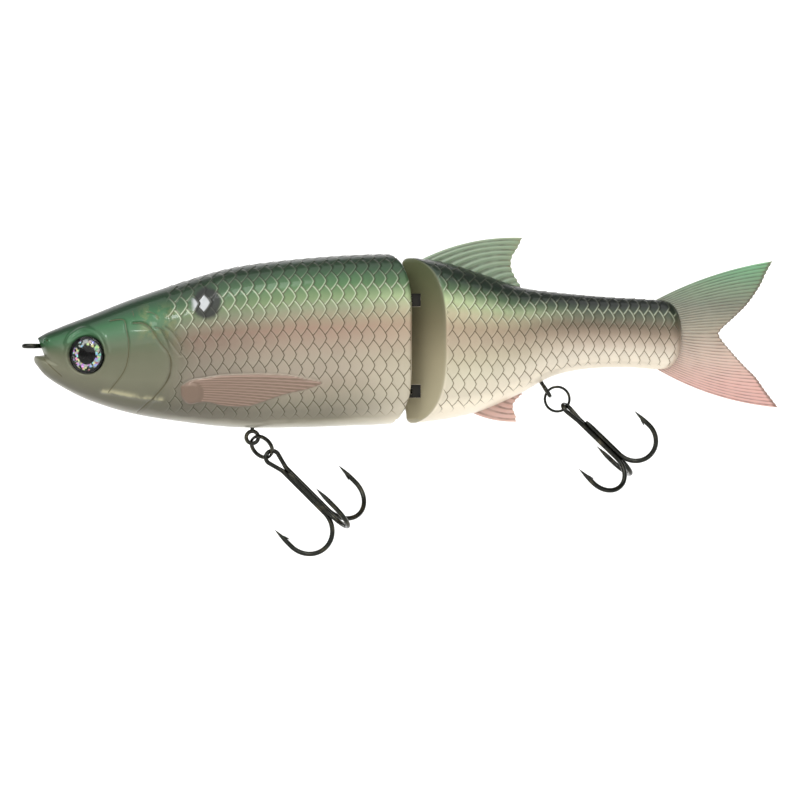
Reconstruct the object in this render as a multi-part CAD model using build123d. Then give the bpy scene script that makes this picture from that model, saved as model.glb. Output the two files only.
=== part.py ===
"""Jointed hard swimbait: two hollow painted sections on a vertical hinge pin, soft fins, split rings, trebles.

Millimetres. X runs from the nose towards the tail, Y from the fish's left side to its right side and Z up.
The origin is the centre of the line tie's eye.
"""

from build123d import *
from math import asin, cos, radians, sin, sqrt
import os

# ---- body -------------------------------------------------------------------------------------------------
WALL = 2.0  # thickness of the moulded half shells
HALF_SECTION_POINTS = 9  # points of half a cross-section's curve, from the belly to the back
FRONT_LIMITS = (0.7, 91.4)
REAR_LIMITS = (88.0, 156.5)
LOFT_SECTIONS = 15
CAVITY_SECTIONS = 9

# Each station: x, top z, bottom z, half width, squareness (2 is an ellipse, 3 is slab sided).
FRONT_STATIONS = [
    (0.7, 1.6, -4.2, 2.4, 2.2),
    (3.0, 3.1, -7.0, 4.0, 2.2),
    (7.0, 4.6, -9.6, 5.7, 2.3),
    (13.6, 7.1, -12.9, 7.7, 2.4),
    (24.0, 11.2, -16.1, 9.9, 2.5),
    (36.0, 15.2, -18.1, 11.4, 2.6),
    (48.0, 18.6, -19.4, 12.2, 2.8),
    (62.0, 20.5, -19.5, 12.5, 2.9),
    (78.0, 21.7, -19.0, 12.1, 3.0),
    (91.5, 21.9, -18.6, 11.4, 3.0),
]
REAR_STATIONS = [
    (88.0, 21.2, -18.6, 11.4, 3.0),
    (97.7, 20.1, -17.7, 11.3, 3.0),
    (106.8, 17.4, -15.7, 10.0, 2.8),
    (116.8, 14.0, -11.4, 8.2, 2.6),
    (124.0, 12.9, -7.5, 6.9, 2.5),
    (131.0, 12.2, -5.7, 6.0, 2.4),
    (140.0, 11.5, -5.1, 5.2, 2.3),
    (150.7, 11.1, -6.2, 4.5, 2.2),
    (157.0, 10.6, -7.2, 4.0, 2.2),
]
FRONT_CAVITY = (8.0, 84.0)  # x range of the hollow in the front section
REAR_CAVITY = (99.0, 145.0)  # and in the rear section

# ---- hinge ------------------------------------------------------------------------------------------------
PIN_X = 91.0
PIN_D = 1.5
PIN_BOTTOM, PIN_TOP = -15.5, 17.5
NOSE_RADIUS = 2.4  # the rear section's rounded nose runs round the pin
NOSE_HALF_ANGLE = 44.8  # degrees from the long axis to each flat of the nose
HINGE_EYE_Z = (10.9, -10.8)
HINGE_SLIT_HEIGHT = 1.5  # of the slot that each hinge eye turns in
HINGE_SLIT_RADIUS = 1.95  # of its round end about the pin
HINGE_POCKET_HEIGHT = 3.1  # of the blind pocket beside it in each flat of the nose
HINGE_POCKET_FLOOR = 2.3  # distance from the middle to the pocket's floor
HINGE_POCKET_BACK = 93.0
RECESS_X = 86.9  # floor of the recess that the nose turns in
RECESS_RIM = 1.9  # thickness of the rim round the recess
RECESS_OPEN_HALF_WIDTH = 6.0  # the rim is open this far each side of the middle, above and below
RIM_X = 90.9

# ---- wire eyelets -----------------------------------------------------------------------------------------
PLAY = 0.03  # gap round a moulded-in wire
TIE_WIRE, TIE_LOOP = 1.2, 1.7  # wire diameter, radius of the loop's centreline
TIE_BORE = 1.25  # radius of the land reamed in the line tie's eye
TIE_SHANK = 12.5
HANGER_WIRE, HANGER_LOOP = 0.95, 1.45
HANGER_SHANK = 10.0
HINGE_WIRE, HINGE_LOOP = 1.0, 1.3
HINGE_SHANK = 9.5
FRONT_HANGER = Vector(52.8, 0, -21.82)
REAR_HANGER = Vector(123.13, 0, -10.68)
REAR_STEM = Vector(0.54, 0, -0.84).normalized()  # the way the rear hanger points

# ---- split rings and trebles ------------------------------------------------------------------------------
RING_RADIUS = 2.93  # centreline
RING_RADIAL, RING_AXIAL = 0.62, 0.9
RING_GROOVE = 0.12
RING_OFFSET = 0.3  # from the hanger eye's centre to the ring's centreline, along the chain
HOOK_WIRE = 1.05
SHANK_GAP = 0.06  # between the shanks that lie side by side
HOOK_EYE_RADIUS = 1.6  # centreline of the hook eye's round end
HOOK_EYE_HEIGHT = 3.88  # from the throat of the hook's eye up to the centre of its round end
HOOK_EYE_OFFSET = 3.58  # from the ring's centre to the centre of the hook eye's round end
THROAT_RADIUS = 3.0
SHANK_LENGTH = 14.3
BEND_RADIUS = 6.05
POINT_LENGTH = 5.6
POINT_TAPER = 3.0
REAR_HOOK_SIZE = 0.87  # the rear treble is one size smaller below its eye
FRONT_CHAIN = Vector(1, 0, -1).normalized()
REAR_CHAIN = Vector(0.78, 0, -0.62).normalized()
REAR_HOOK_DIRECTION = Vector(0.719, 0, -0.695).normalized()
FRONT_RING_TURN = 45.0  # degrees that the front ring is turned about the chain
FRONT_HOOK_TURN = -11.0
REAR_HOOK_TURN = -68.0

# ---- eyes -------------------------------------------------------------------------------------------------
EYE_CENTRE = (13.6, 7.75, -2.2)
EYE_RADIUS = 4.4
EYE_YAW = 22.0  # degrees that each eye looks forward
EYE_SOCKET_DEPTH = 1.1
FOIL_THICKNESS = 0.25
LENS_RISE = 1.0  # height of the dome above its rim

# ---- fins and ballast -------------------------------------------------------------------------------------
FIN_THICKNESS = 1.2
TAIL_FIN_THICKNESS = 1.4
FRONT_BALLAST = (28.0, 46.0, -10.2, 3.8)  # x from, x to, z, radius
MIDDLE_BALLAST = (58.0, 76.0, -12.2, 4.5)
REAR_BALLAST = (100.5, 112.0, -5.2, 3.6)
CRADLE_THICKNESS = 2.0
POST_RADIUS, PEG_RADIUS, PEG_LENGTH = 2.6, 1.2, 2.4
FRONT_POSTS = [(33.0, 4.0), (58.0, 12.0), (78.0, 1.0)]
REAR_POSTS = [(104.0, 8.0), (119.0, 2.0), (138.0, 3.5)]
FAR = 60.0  # longer than anything it has to cut


def half_section_face(station, inset=0.0):
    """Right half of the body's cross-section at one station: half a superellipse, closed along the middle."""
    x, top, bottom, half_width, squareness = station
    middle = (top + bottom) / 2
    half_height = (top - bottom) / 2 - inset
    power = 2 / squareness
    points = [Vector(x, 0, middle - half_height)]
    for i in range(1, HALF_SECTION_POINTS - 1):
        angle = radians(180 * i / (HALF_SECTION_POINTS - 1) - 90)
        upward = abs(sin(angle)) ** power * (1 if sin(angle) > 0 else -1)
        points.append(Vector(x, (half_width - inset) * cos(angle) ** power, middle + half_height * upward))
    points.append(Vector(x, 0, middle + half_height))
    curve = Edge.make_spline(points, tangents=[Vector(0, 1, 0), Vector(0, -1, 0)])
    return Face(Wire([curve, Edge.make_line(points[-1], points[0])]))


def station_at(stations, x):
    """A station at any x, on a smooth curve through the driving stations."""
    xs = [station[0] for station in stations]
    i = max(k for k in range(len(xs) - 1) if xs[k] <= x or k == 0)
    step = xs[i + 1] - xs[i]
    t = (x - xs[i]) / step
    rise = t * t * (3 - 2 * t)

    def slope(k, column):
        low, high = max(k - 1, 0), min(k + 1, len(xs) - 1)
        return (stations[high][column] - stations[low][column]) / (xs[high] - xs[low])

    values = [x]
    for column in range(1, 5):
        start, end = stations[i][column], stations[i + 1][column]
        bow_start = t * (1 - t) ** 2 * step * slope(i, column)
        bow_end = t * t * (1 - t) * step * slope(i + 1, column)
        values.append(start + rise * (end - start) + bow_start - bow_end)
    return tuple(values)


def half_loft(stations, limits, count, inset=0.0):
    """Right half of the body between two x limits, through evenly spaced cross-sections."""
    low, high = limits
    xs = [low + (high - low) * i / (count - 1) for i in range(count)]
    return loft([half_section_face(station_at(stations, x), inset) for x in xs])


def slab(x0, x1, y0, y1, z0, z1):
    centre = ((x0 + x1) / 2, (y0 + y1) / 2, (z0 + z1) / 2)
    return Pos(*centre) * Box(x1 - x0, y1 - y0, z1 - z0)


def across(outline, half_width):
    """Solid from a face drawn in the XZ plane, as thick on both sides of the middle."""
    return extrude(outline, amount=half_width, both=True)


def xz(x, z):
    return Vector(x, 0, z)


def rod_y(x, z, radius, y0, y1):
    """Cylinder along Y."""
    return Pos(x, (y0 + y1) / 2, z) * Rot(90, 0, 0) * Cylinder(radius, y1 - y0)


def wire_along(edges, diameter):
    """Round wire along a smooth chain of edges."""
    path = Wire(edges)
    section = Plane(origin=path @ 0, z_dir=path % 0) * Circle(diameter / 2)
    return sweep(section, path=path)


# ---- eyelets ----------------------------------------------------------------------------------------------


def eyelet(place, wire, loop, shank, twisted):
    """Bent wire with a loop at both ends, and the pocket moulded for its shank and inner loop.

    In its own frame the outer loop lies round the origin, round Z, and the shank runs along X.
    """
    turn = Rot(90, 0, 0) if twisted else Rot(0, 0, 0)
    far_end = Pos(shank, 0, 0) * turn
    stem = Pos(shank / 2, 0, 0) * Rot(0, 90, 0) * Cylinder(wire / 2, shank - 2 * loop)
    part = Torus(loop, wire / 2) + stem + far_end * Torus(loop, wire / 2)
    seat_height = wire + 8 * PLAY
    seat = far_end * Cylinder(loop + wire / 2 + PLAY, seat_height)
    peg = far_end * Cylinder(loop - wire / 2 - PLAY, seat_height)
    channel = Pos(shank / 2, 0, 0) * Rot(0, 90, 0) * Cylinder(wire / 2 + PLAY, shank - 2 * loop + wire)
    pocket = channel + seat - peg
    return place * part, place * pocket


TIE_PLACE = Location((0, 0, 0))
FRONT_HANGER_PLACE = Plane(origin=FRONT_HANGER, x_dir=(0, 0, 1), z_dir=(0, 1, 0)).location
REAR_HANGER_PLACE = Plane(
    origin=REAR_HANGER, x_dir=-REAR_STEM, z_dir=(-REAR_STEM.Z, 0, REAR_STEM.X)
).location
HINGE_PLACES = [Pos(PIN_X, 0, z) * Rot(0, 0, 180) for z in HINGE_EYE_Z]

line_tie, tie_pocket = eyelet(TIE_PLACE, TIE_WIRE, TIE_LOOP, TIE_SHANK, True)
line_tie -= Cylinder(TIE_BORE, 2 * TIE_WIRE)
tie_pocket += Cylinder(TIE_LOOP + TIE_WIRE / 2 + PLAY, TIE_WIRE + 2 * PLAY)
front_hanger, front_hanger_pocket = eyelet(
    FRONT_HANGER_PLACE, HANGER_WIRE, HANGER_LOOP, HANGER_SHANK, False
)
rear_hanger, rear_hanger_pocket = eyelet(
    REAR_HANGER_PLACE, HANGER_WIRE, HANGER_LOOP, HANGER_SHANK, True
)
hinge_eyes = [eyelet(place, HINGE_WIRE, HINGE_LOOP, HINGE_SHANK, True) for place in HINGE_PLACES]
hinge_pin = Pos(PIN_X, 0, (PIN_TOP + PIN_BOTTOM) / 2) * Cylinder(PIN_D / 2, PIN_TOP - PIN_BOTTOM)


# ---- fins -------------------------------------------------------------------------------------------------


def fin(points, thickness):
    """Flat soft fin with its tang, from the corners of its outline."""
    corners = [xz(x, z) for x, z in points]
    return across(Face(Wire.make_polygon(corners, close=True)), thickness / 2)


dorsal_fin = fin(
    [
        (93.2, 19.2), (91.0, 21.3), (97.7, 23.7), (107.2, 25.6), (113.0, 26.2), (117.4, 26.0),
        (114.9, 21.6), (114.8, 19.4), (117.4, 13.7), (116.0, 11.4), (104.5, 14.9), (94.5, 17.0),
    ],
    FIN_THICKNESS,
)
ventral_fin = fin(
    [
        (104.0, -16.4), (108.8, -17.8), (115.7, -18.1), (115.2, -15.0), (117.2, -11.4),
        (115.5, -9.0), (105.5, -12.6),
    ],
    FIN_THICKNESS,
)
tail_fin = fin(
    [
        (147.2, 9.0), (154.4, 13.7), (164.9, 17.7), (177.3, 20.3), (175.2, 16.8), (171.5, 10.3),
        (164.5, 2.8), (170.5, -4.9), (175.1, -10.1), (178.6, -14.7), (166.6, -12.8), (156.1, -8.9),
        (147.2, -4.0),
    ],
    TAIL_FIN_THICKNESS,
)


# ---- eyes -------------------------------------------------------------------------------------------------


def eye_place(side):
    """Frame of one eye: its Z axis points out of the head. side is -1 on the left and 1 on the right."""
    x, y, z = EYE_CENTRE
    outward = Vector(-sin(radians(EYE_YAW)), side * cos(radians(EYE_YAW)), 0)
    return Plane(origin=(x, side * y, z), x_dir=(0, 0, 1), z_dir=outward).location


def eye_parts(side):
    place = eye_place(side)
    floor = -EYE_SOCKET_DEPTH
    socket = place * Pos(0, 0, floor + FAR / 2) * Cylinder(EYE_RADIUS, FAR)
    foil = place * Pos(0, 0, floor + FOIL_THICKNESS / 2) * Cylinder(EYE_RADIUS, FOIL_THICKNESS)
    rim = -floor - FOIL_THICKNESS
    ball = (EYE_RADIUS**2 + LENS_RISE**2) / (2 * LENS_RISE)
    drum = Pos(0, 0, floor + FOIL_THICKNESS + (rim + LENS_RISE) / 2) * Cylinder(EYE_RADIUS, rim + LENS_RISE)
    lens = place * (drum & Pos(0, 0, LENS_RISE - ball) * Sphere(ball))
    return socket, foil, lens


sockets, foils, lenses = zip(*(eye_parts(side) for side in (-1, 1)))


# ---- body sections ----------------------------------------------------------------------------------------


def cradle(ballast):
    """Two ribs that hold a ballast bar, as solids left standing in the hollow."""
    x0, x1, z, radius = ballast
    ribs = Part()
    for x in (x0 + 3, x1 - 3):
        ribs += slab(x - CRADLE_THICKNESS / 2, x + CRADLE_THICKNESS / 2, -FAR, FAR, -FAR, z + 1)
    return ribs


def ballast_bar(ballast):
    x0, x1, z, radius = ballast
    return Pos((x0 + x1) / 2, 0, z) * Rot(0, 90, 0) * Cylinder(radius, x1 - x0)


front_ballast = ballast_bar(FRONT_BALLAST)
middle_ballast = ballast_bar(MIDDLE_BALLAST)
rear_ballast = ballast_bar(REAR_BALLAST)


def both_halves(right, posts):
    """Left and right half shells: mirror images, but for the left one's pegs and the right one's sockets."""
    left = mirror(right, about=Plane.XZ)
    for x, z in posts:
        left += rod_y(x, z, PEG_RADIUS, -PEG_LENGTH, PEG_LENGTH)
        right -= rod_y(x, z, PEG_RADIUS + PLAY, -PEG_LENGTH, PEG_LENGTH + 4 * PLAY)
    return left, right


def front_section():
    outer = half_loft(FRONT_STATIONS, FRONT_LIMITS, LOFT_SECTIONS)
    outer -= slab(RECESS_X, 95.0, -RECESS_OPEN_HALF_WIDTH, RECESS_OPEN_HALF_WIDTH, -FAR, FAR)
    rim_inside = half_section_face((RECESS_X, 21.9, -18.6, 11.4, 3.0), RECESS_RIM)
    outer -= extrude(rim_inside, amount=10.0, dir=(1, 0, 0))
    # The rear rim seen from the side: upright, with its corners rounded off above and below.
    top_corner = Edge.make_three_point_arc(xz(84.0, 23.0), xz(88.9, 19.4), xz(RIM_X, 10.0))
    upright = Edge.make_line(xz(RIM_X, 10.0), xz(RIM_X, -9.0))
    low_corner = Edge.make_three_point_arc(xz(RIM_X, -9.0), xz(89.2, -16.2), xz(84.0, -20.5))
    rest = [
        Edge.make_line(xz(84.0, -20.5), xz(-FAR, -20.5)),
        Edge.make_line(xz(-FAR, -20.5), xz(-FAR, 23.0)),
        Edge.make_line(xz(-FAR, 23.0), xz(84.0, 23.0)),
    ]
    outer &= across(Face(Wire([top_corner, upright, low_corner, *rest])), FAR)
    # The upper lip stands back from the line tie's eye, so that a snap can come down into it.
    mouth = [xz(-2, 3.4), xz(1.2, 3.4), xz(1.5, 0.9), xz(3.0, -1.9), xz(0.9, -2.5), xz(-2, -2.5)]
    outer -= across(Face(Wire.make_polygon(mouth, close=True)), FAR)

    cavity = half_loft(FRONT_STATIONS, FRONT_CAVITY, CAVITY_SECTIONS, WALL)
    for z in HINGE_EYE_Z:
        cavity -= slab(76.5, FAR * 2, -3.2, 3.2, z - 3.5, z + 3.5)
    hanger_x = FRONT_HANGER.X
    cavity -= slab(hanger_x - 3.5, hanger_x + 3.5, -FAR, FAR, -FAR, -8.0)
    cavity -= slab(-FAR, 16.5, -FAR, FAR, -3.2, 3.2)
    cavity -= cradle(FRONT_BALLAST) + cradle(MIDDLE_BALLAST)
    seat = Pos(0, 0, -EYE_SOCKET_DEPTH - WALL / 2) * Cylinder(EYE_RADIUS + 1, 2 * WALL)
    cavity -= eye_place(1) * seat
    for x, z in FRONT_POSTS:
        cavity -= rod_y(x, z, POST_RADIUS, -FAR, FAR)

    section = outer - cavity - tie_pocket - front_hanger_pocket
    section -= front_ballast + middle_ballast
    for _, pocket in hinge_eyes:
        section -= pocket
    return both_halves(section - sockets[1], FRONT_POSTS)


def rear_nose():
    """Plan of the rear section: a nose rounded about the pin, with a flat on each side, drawn upwards."""
    angle = radians(NOSE_HALF_ANGLE)
    reach = 12.0
    touch = Vector(PIN_X - NOSE_RADIUS * sin(angle), NOSE_RADIUS * cos(angle), 0)
    corner = touch + Vector(cos(angle), sin(angle), 0) * 2 * reach
    tip = Vector(PIN_X - NOSE_RADIUS, 0, 0)
    low_touch = Vector(touch.X, -touch.Y, 0)
    low_corner = Vector(corner.X, -corner.Y, 0)
    back = 200.0
    edges = [
        Edge.make_line(corner, touch),
        Edge.make_three_point_arc(touch, tip, low_touch),
        Edge.make_line(low_touch, low_corner),
        Edge.make_line(low_corner, Vector(back, low_corner.Y, 0)),
        Edge.make_line(Vector(back, low_corner.Y, 0), Vector(back, corner.Y, 0)),
        Edge.make_line(Vector(back, corner.Y, 0), corner),
    ]
    return extrude(Face(Wire(edges)), amount=FAR, both=True)


def rear_section():
    outer = half_loft(REAR_STATIONS, REAR_LIMITS, LOFT_SECTIONS) & rear_nose()
    # The end of the tail root seen from the side is a rounded lobe.
    lobe = Edge.make_three_point_arc(xz(150.7, 11.6), xz(155.4, 3.0), xz(150.7, -6.8))
    rest = [
        Edge.make_line(xz(150.7, -6.8), xz(118.0, -FAR)),
        Edge.make_line(xz(118.0, -FAR), xz(70.0, -FAR)),
        Edge.make_line(xz(70.0, -FAR), xz(70.0, FAR)),
        Edge.make_line(xz(70.0, FAR), xz(118.0, FAR)),
        Edge.make_line(xz(118.0, FAR), xz(150.7, 11.6)),
    ]
    outer &= across(Face(Wire([lobe, *rest])), FAR)

    cavity = half_loft(REAR_STATIONS, REAR_CAVITY, CAVITY_SECTIONS, WALL)
    hanger_x = REAR_HANGER.X
    cavity -= slab(hanger_x - 10.0, hanger_x + 4.0, -FAR, FAR, -FAR, 1.5)
    cavity -= cradle(REAR_BALLAST)
    cavity -= slab(98.0, 118.0, -2.0, 2.0, 10.5, FAR)
    cavity -= slab(104.5, 118.0, -2.0, 2.0, -FAR, -8.0)
    for x, z in REAR_POSTS:
        cavity -= rod_y(x, z, POST_RADIUS, -FAR, FAR)

    section = outer - cavity - hinge_pin - rear_hanger_pocket - rear_ballast
    for z in HINGE_EYE_Z:
        slit, pocket = HINGE_SLIT_HEIGHT / 2, HINGE_POCKET_HEIGHT / 2
        section -= slab(80.0, PIN_X, -FAR, FAR, z - slit, z + slit)
        section -= Pos(PIN_X, 0, z) * Cylinder(HINGE_SLIT_RADIUS, 2 * slit)
        section -= slab(80.0, HINGE_POCKET_BACK, HINGE_POCKET_FLOOR, FAR, z - pocket, z + pocket)
    for piece in (dorsal_fin, ventral_fin, tail_fin):
        section -= piece
    return both_halves(section, REAR_POSTS)


front_shell_left, front_shell_right = front_section()
rear_shell_left, rear_shell_right = rear_section()


# ---- split rings ------------------------------------------------------------------------------------------


def split_ring():
    """Flat double coil round Z: a band with a groove round its outside between the two turns."""
    outside, inside = RING_RADIUS + RING_RADIAL / 2, RING_RADIUS - RING_RADIAL / 2
    band = Cylinder(outside, RING_AXIAL) - Cylinder(inside, RING_AXIAL)
    groove = Cylinder(outside, RING_GROOVE) - Cylinder(outside - RING_GROOVE, RING_GROOVE)
    return band - groove


def turned(chain, turn):
    """Direction square to the chain, turned about it by an angle that grows from upwards to the left side."""
    up = Vector(-chain.Z, 0, chain.X)
    return up * cos(radians(turn)) + Vector(0, -1, 0) * sin(radians(turn))


front_ring_centre = FRONT_HANGER + FRONT_CHAIN * (RING_RADIUS + RING_OFFSET)
rear_ring_centre = REAR_HANGER + REAR_CHAIN * (RING_RADIUS + RING_OFFSET)
front_ring_axis = turned(FRONT_CHAIN, -FRONT_RING_TURN)
front_split_ring = Plane(origin=front_ring_centre, x_dir=FRONT_CHAIN, z_dir=front_ring_axis).location * split_ring()
rear_split_ring = Plane(origin=rear_ring_centre, x_dir=REAR_CHAIN, z_dir=(0, 1, 0)).location * split_ring()


# ---- treble hooks -----------------------------------------------------------------------------------------
# In a treble's own frame the origin is the throat of its eye, the eye stands above it in the XZ plane and
# the three shanks run down side by side.


def hook_edges(start, direction, top, size):
    """Edges of one hook, from the base of its point, round the bend and up its shank to height top."""
    shank, bend = SHANK_LENGTH * size, BEND_RADIUS * size
    end = start + direction * 2 * bend
    low = Vector(0, 0, -shank)
    deep = start + direction * bend + Vector(0, 0, -shank - bend)
    point_base = end + low + Vector(0, 0, POINT_LENGTH * size - POINT_TAPER)
    return point_base, [
        Edge.make_line(point_base, end + low),
        Edge.make_three_point_arc(end + low, deep, start + low),
        Edge.make_line(start + low, start + Vector(0, 0, top)),
    ]


def hook_point(base):
    return Pos(*base) * Pos(0, 0, POINT_TAPER / 2) * Cone(HOOK_WIRE / 2, 0.06, POINT_TAPER)


def round_direction(angle):
    return Vector(cos(radians(angle)), sin(radians(angle)), 0)


def double_hook(size):
    """One wire: point, bend, shank, eye, and back down to the second point."""
    half = (HOOK_WIRE + SHANK_GAP) / 2
    reach = sqrt(half**2 + HOOK_EYE_HEIGHT**2)
    lean = asin(HOOK_EYE_RADIUS / reach) - asin(half / reach)
    rise = THROAT_RADIUS * sin(lean / 2) / cos(lean / 2)
    leg_start = xz(half + rise * sin(lean), rise * cos(lean))
    throat_centre = xz(half + THROAT_RADIUS, -rise)
    throat_middle = throat_centre + xz(-cos(lean / 2), sin(lean / 2)) * THROAT_RADIUS
    touch = xz(HOOK_EYE_RADIUS * cos(lean), HOOK_EYE_HEIGHT - HOOK_EYE_RADIUS * sin(lean))

    def flip(point):
        return Vector(-point.X, point.Y, point.Z)

    first_base, first = hook_edges(xz(half, 0), round_direction(30), -rise, size)
    second_base, second = hook_edges(xz(-half, 0), round_direction(150), -rise, size)
    crown = xz(0, HOOK_EYE_HEIGHT + HOOK_EYE_RADIUS)
    shank_top = xz(half, -rise)
    eye = [
        Edge.make_three_point_arc(shank_top, throat_middle, leg_start),
        Edge.make_line(leg_start, touch),
        Edge.make_three_point_arc(touch, crown, flip(touch)),
        Edge.make_line(flip(touch), flip(leg_start)),
        Edge.make_three_point_arc(flip(leg_start), flip(throat_middle), flip(shank_top)),
    ]
    body = wire_along([*first, *eye, *second], HOOK_WIRE)
    return body + hook_point(first_base) + hook_point(second_base)


def third_hook(size):
    """The single hook brazed into the groove between the other two shanks."""
    start = Vector(0, -(HOOK_WIRE + SHANK_GAP) * sqrt(3) / 2, 0)
    base, edges = hook_edges(start, round_direction(-90), -1.2, size)
    return wire_along(edges, HOOK_WIRE) + hook_point(base)


def treble_place(ring_centre, direction, turn):
    throat = ring_centre + direction * (HOOK_EYE_OFFSET + HOOK_EYE_HEIGHT)
    return Plane(origin=throat, x_dir=turned(direction, turn), z_dir=-direction).location


front_treble = treble_place(front_ring_centre, FRONT_CHAIN, FRONT_HOOK_TURN)
rear_treble = treble_place(rear_ring_centre, REAR_HOOK_DIRECTION, REAR_HOOK_TURN)

parts = {
    "front_shell_left": front_shell_left,
    "front_shell_right": front_shell_right,
    "rear_shell_left": rear_shell_left,
    "rear_shell_right": rear_shell_right,
    "eye_foil_left": foils[0],
    "eye_foil_right": foils[1],
    "eye_lens_left": lenses[0],
    "eye_lens_right": lenses[1],
    "line_tie": line_tie,
    "front_hook_hanger": front_hanger,
    "rear_hook_hanger": rear_hanger,
    "hinge_eye_upper": hinge_eyes[0][0],
    "hinge_eye_lower": hinge_eyes[1][0],
    "hinge_pin": hinge_pin,
    "front_ballast": front_ballast,
    "middle_ballast": middle_ballast,
    "rear_ballast": rear_ballast,
    "dorsal_fin": dorsal_fin,
    "ventral_fin": ventral_fin,
    "tail_fin": tail_fin,
    "front_split_ring": front_split_ring,
    "rear_split_ring": rear_split_ring,
    "front_treble_double_hook": front_treble * double_hook(1),
    "front_treble_third_hook": front_treble * third_hook(1),
    "rear_treble_double_hook": rear_treble * double_hook(REAR_HOOK_SIZE),
    "rear_treble_third_hook": rear_treble * third_hook(REAR_HOOK_SIZE),
}

if __name__ == "__main__":
    os.makedirs("parts", exist_ok=True)
    for name, part in parts.items():
        export_step(part, f"parts/{name}.step")
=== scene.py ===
"""Looks of the jointed swimbait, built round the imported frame.

Lengths here are millimetres, in the frame's axes. mesh_object turns them into Blender's metres.
"""

import math

import bmesh
import bpy
import numpy as np
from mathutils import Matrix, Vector
from mathutils.geometry import tessellate_polygon


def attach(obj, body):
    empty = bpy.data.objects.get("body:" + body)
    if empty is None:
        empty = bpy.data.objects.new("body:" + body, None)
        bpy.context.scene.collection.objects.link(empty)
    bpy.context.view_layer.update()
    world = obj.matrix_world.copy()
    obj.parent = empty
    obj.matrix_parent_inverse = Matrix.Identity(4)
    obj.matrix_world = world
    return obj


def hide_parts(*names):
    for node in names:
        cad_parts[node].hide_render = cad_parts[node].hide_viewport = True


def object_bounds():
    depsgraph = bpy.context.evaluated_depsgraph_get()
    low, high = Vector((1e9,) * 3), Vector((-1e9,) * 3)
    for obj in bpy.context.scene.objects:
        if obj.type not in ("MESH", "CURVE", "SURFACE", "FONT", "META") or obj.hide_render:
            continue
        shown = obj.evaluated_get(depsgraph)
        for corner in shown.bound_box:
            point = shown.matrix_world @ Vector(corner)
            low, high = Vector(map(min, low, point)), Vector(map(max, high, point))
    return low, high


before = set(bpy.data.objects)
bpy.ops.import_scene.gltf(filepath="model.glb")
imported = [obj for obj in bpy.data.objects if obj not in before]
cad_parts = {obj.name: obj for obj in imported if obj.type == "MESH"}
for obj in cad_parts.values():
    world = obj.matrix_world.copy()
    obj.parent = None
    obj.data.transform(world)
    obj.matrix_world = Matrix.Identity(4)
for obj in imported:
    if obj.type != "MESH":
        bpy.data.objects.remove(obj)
CAD_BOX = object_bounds()
MM = 0.001

# ---- the body's form, as in the CAD source ----
# Each station: x, top z, bottom z, half width, squareness.
FRONT_STATIONS = [
    (0.7, 1.9, -4.4, 2.4, 2.2),
    (3.0, 3.1, -7.0, 4.0, 2.2),
    (7.0, 4.6, -9.6, 5.7, 2.3),
    (13.6, 7.1, -12.9, 7.7, 2.4),
    (24.0, 11.2, -16.1, 9.9, 2.5),
    (36.0, 15.2, -18.1, 11.4, 2.6),
    (48.0, 18.6, -19.4, 12.2, 2.8),
    (62.0, 20.5, -19.5, 12.5, 2.9),
    (78.0, 21.7, -19.0, 12.1, 3.0),
    (91.5, 21.9, -18.6, 11.4, 3.0),
]
REAR_STATIONS = [
    (88.0, 21.2, -18.6, 11.4, 3.0),
    (97.7, 20.1, -17.7, 11.3, 3.0),
    (106.8, 17.4, -15.7, 10.0, 2.8),
    (116.8, 14.0, -11.4, 8.2, 2.6),
    (124.0, 12.9, -7.5, 6.9, 2.5),
    (131.0, 12.2, -5.7, 6.0, 2.4),
    (140.0, 11.5, -5.1, 5.2, 2.3),
    (150.7, 11.1, -5.5, 4.5, 2.2),
    (157.0, 10.7, -5.7, 4.0, 2.2),
]
GRID = 0.25  # size of a cell of the painted skin
SEAM_GAP = 0.02  # each half shell stops this far from the middle
PIN_X = 91.0
NOSE_RADIUS = 2.4
NOSE_SLOPE = math.tan(math.radians(44.8))
RECESS_X = 86.9
RIM_X = 90.9
RECESS_RIM = 1.9  # thickness of the wall left round the recess
RECESS_OPEN_HALF_WIDTH = 6.0
HINGE_EYE_Z = (10.9, -10.8)
HINGE_SLIT_HEIGHT = 1.5
HINGE_SLIT_RADIUS = 1.95
HINGE_POCKET_HEIGHT = 3.1
HINGE_POCKET_FLOOR = 2.3
HINGE_POCKET_BACK = 93.0
EYE_CENTRE = np.array([13.6, 7.75, -2.2])
EYE_RADIUS = 4.4
EYE_YAW = math.radians(22.0)
EYE_AXIS = np.array([-math.sin(EYE_YAW), math.cos(EYE_YAW), 0.0])
EYE_SOCKET_DEPTH = 1.1
GILL_COVER_HEIGHT = 0.38  # how far its plate stands proud of the shoulder
PECTORAL_HEIGHT = 0.5
SCALE_LENGTH, SCALE_HEIGHT = 0.86, 0.92  # half size of a scale, in pitches and in rows
SCALE_POWER = 1.27  # of a scale's outline: 2 would be an ellipse and 1 a diamond
NO_SCALE = 1000.0  # stands for the middle of a scale that doesn't reach a point
# Length and row height of the scales, and how far they stand out.
FRONT_PITCH, FRONT_ROW, FRONT_RELIEF = 2.85, 3.45, 0.16
REAR_PITCH, REAR_ROW, REAR_RELIEF = 2.72, 3.35, 0.15
REAR_SCALES_START = 98.0  # x from which the rear section's scales are counted


def smoothstep(low, high, value):
    t = np.clip((value - low) / (high - low), 0, 1)
    return t * t * (3 - 2 * t)


def fade(distance, width):
    """1 at no distance, falling off to each side like a bell."""
    return np.exp(-((distance / width) ** 2))


def arc(share, power=2.0):
    """Quarter of a rounded outline: 1 at a share of 0, falling to 0 at 1."""
    return (1 - np.clip(share, 0, 1) ** power) ** (1 / power)


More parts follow.
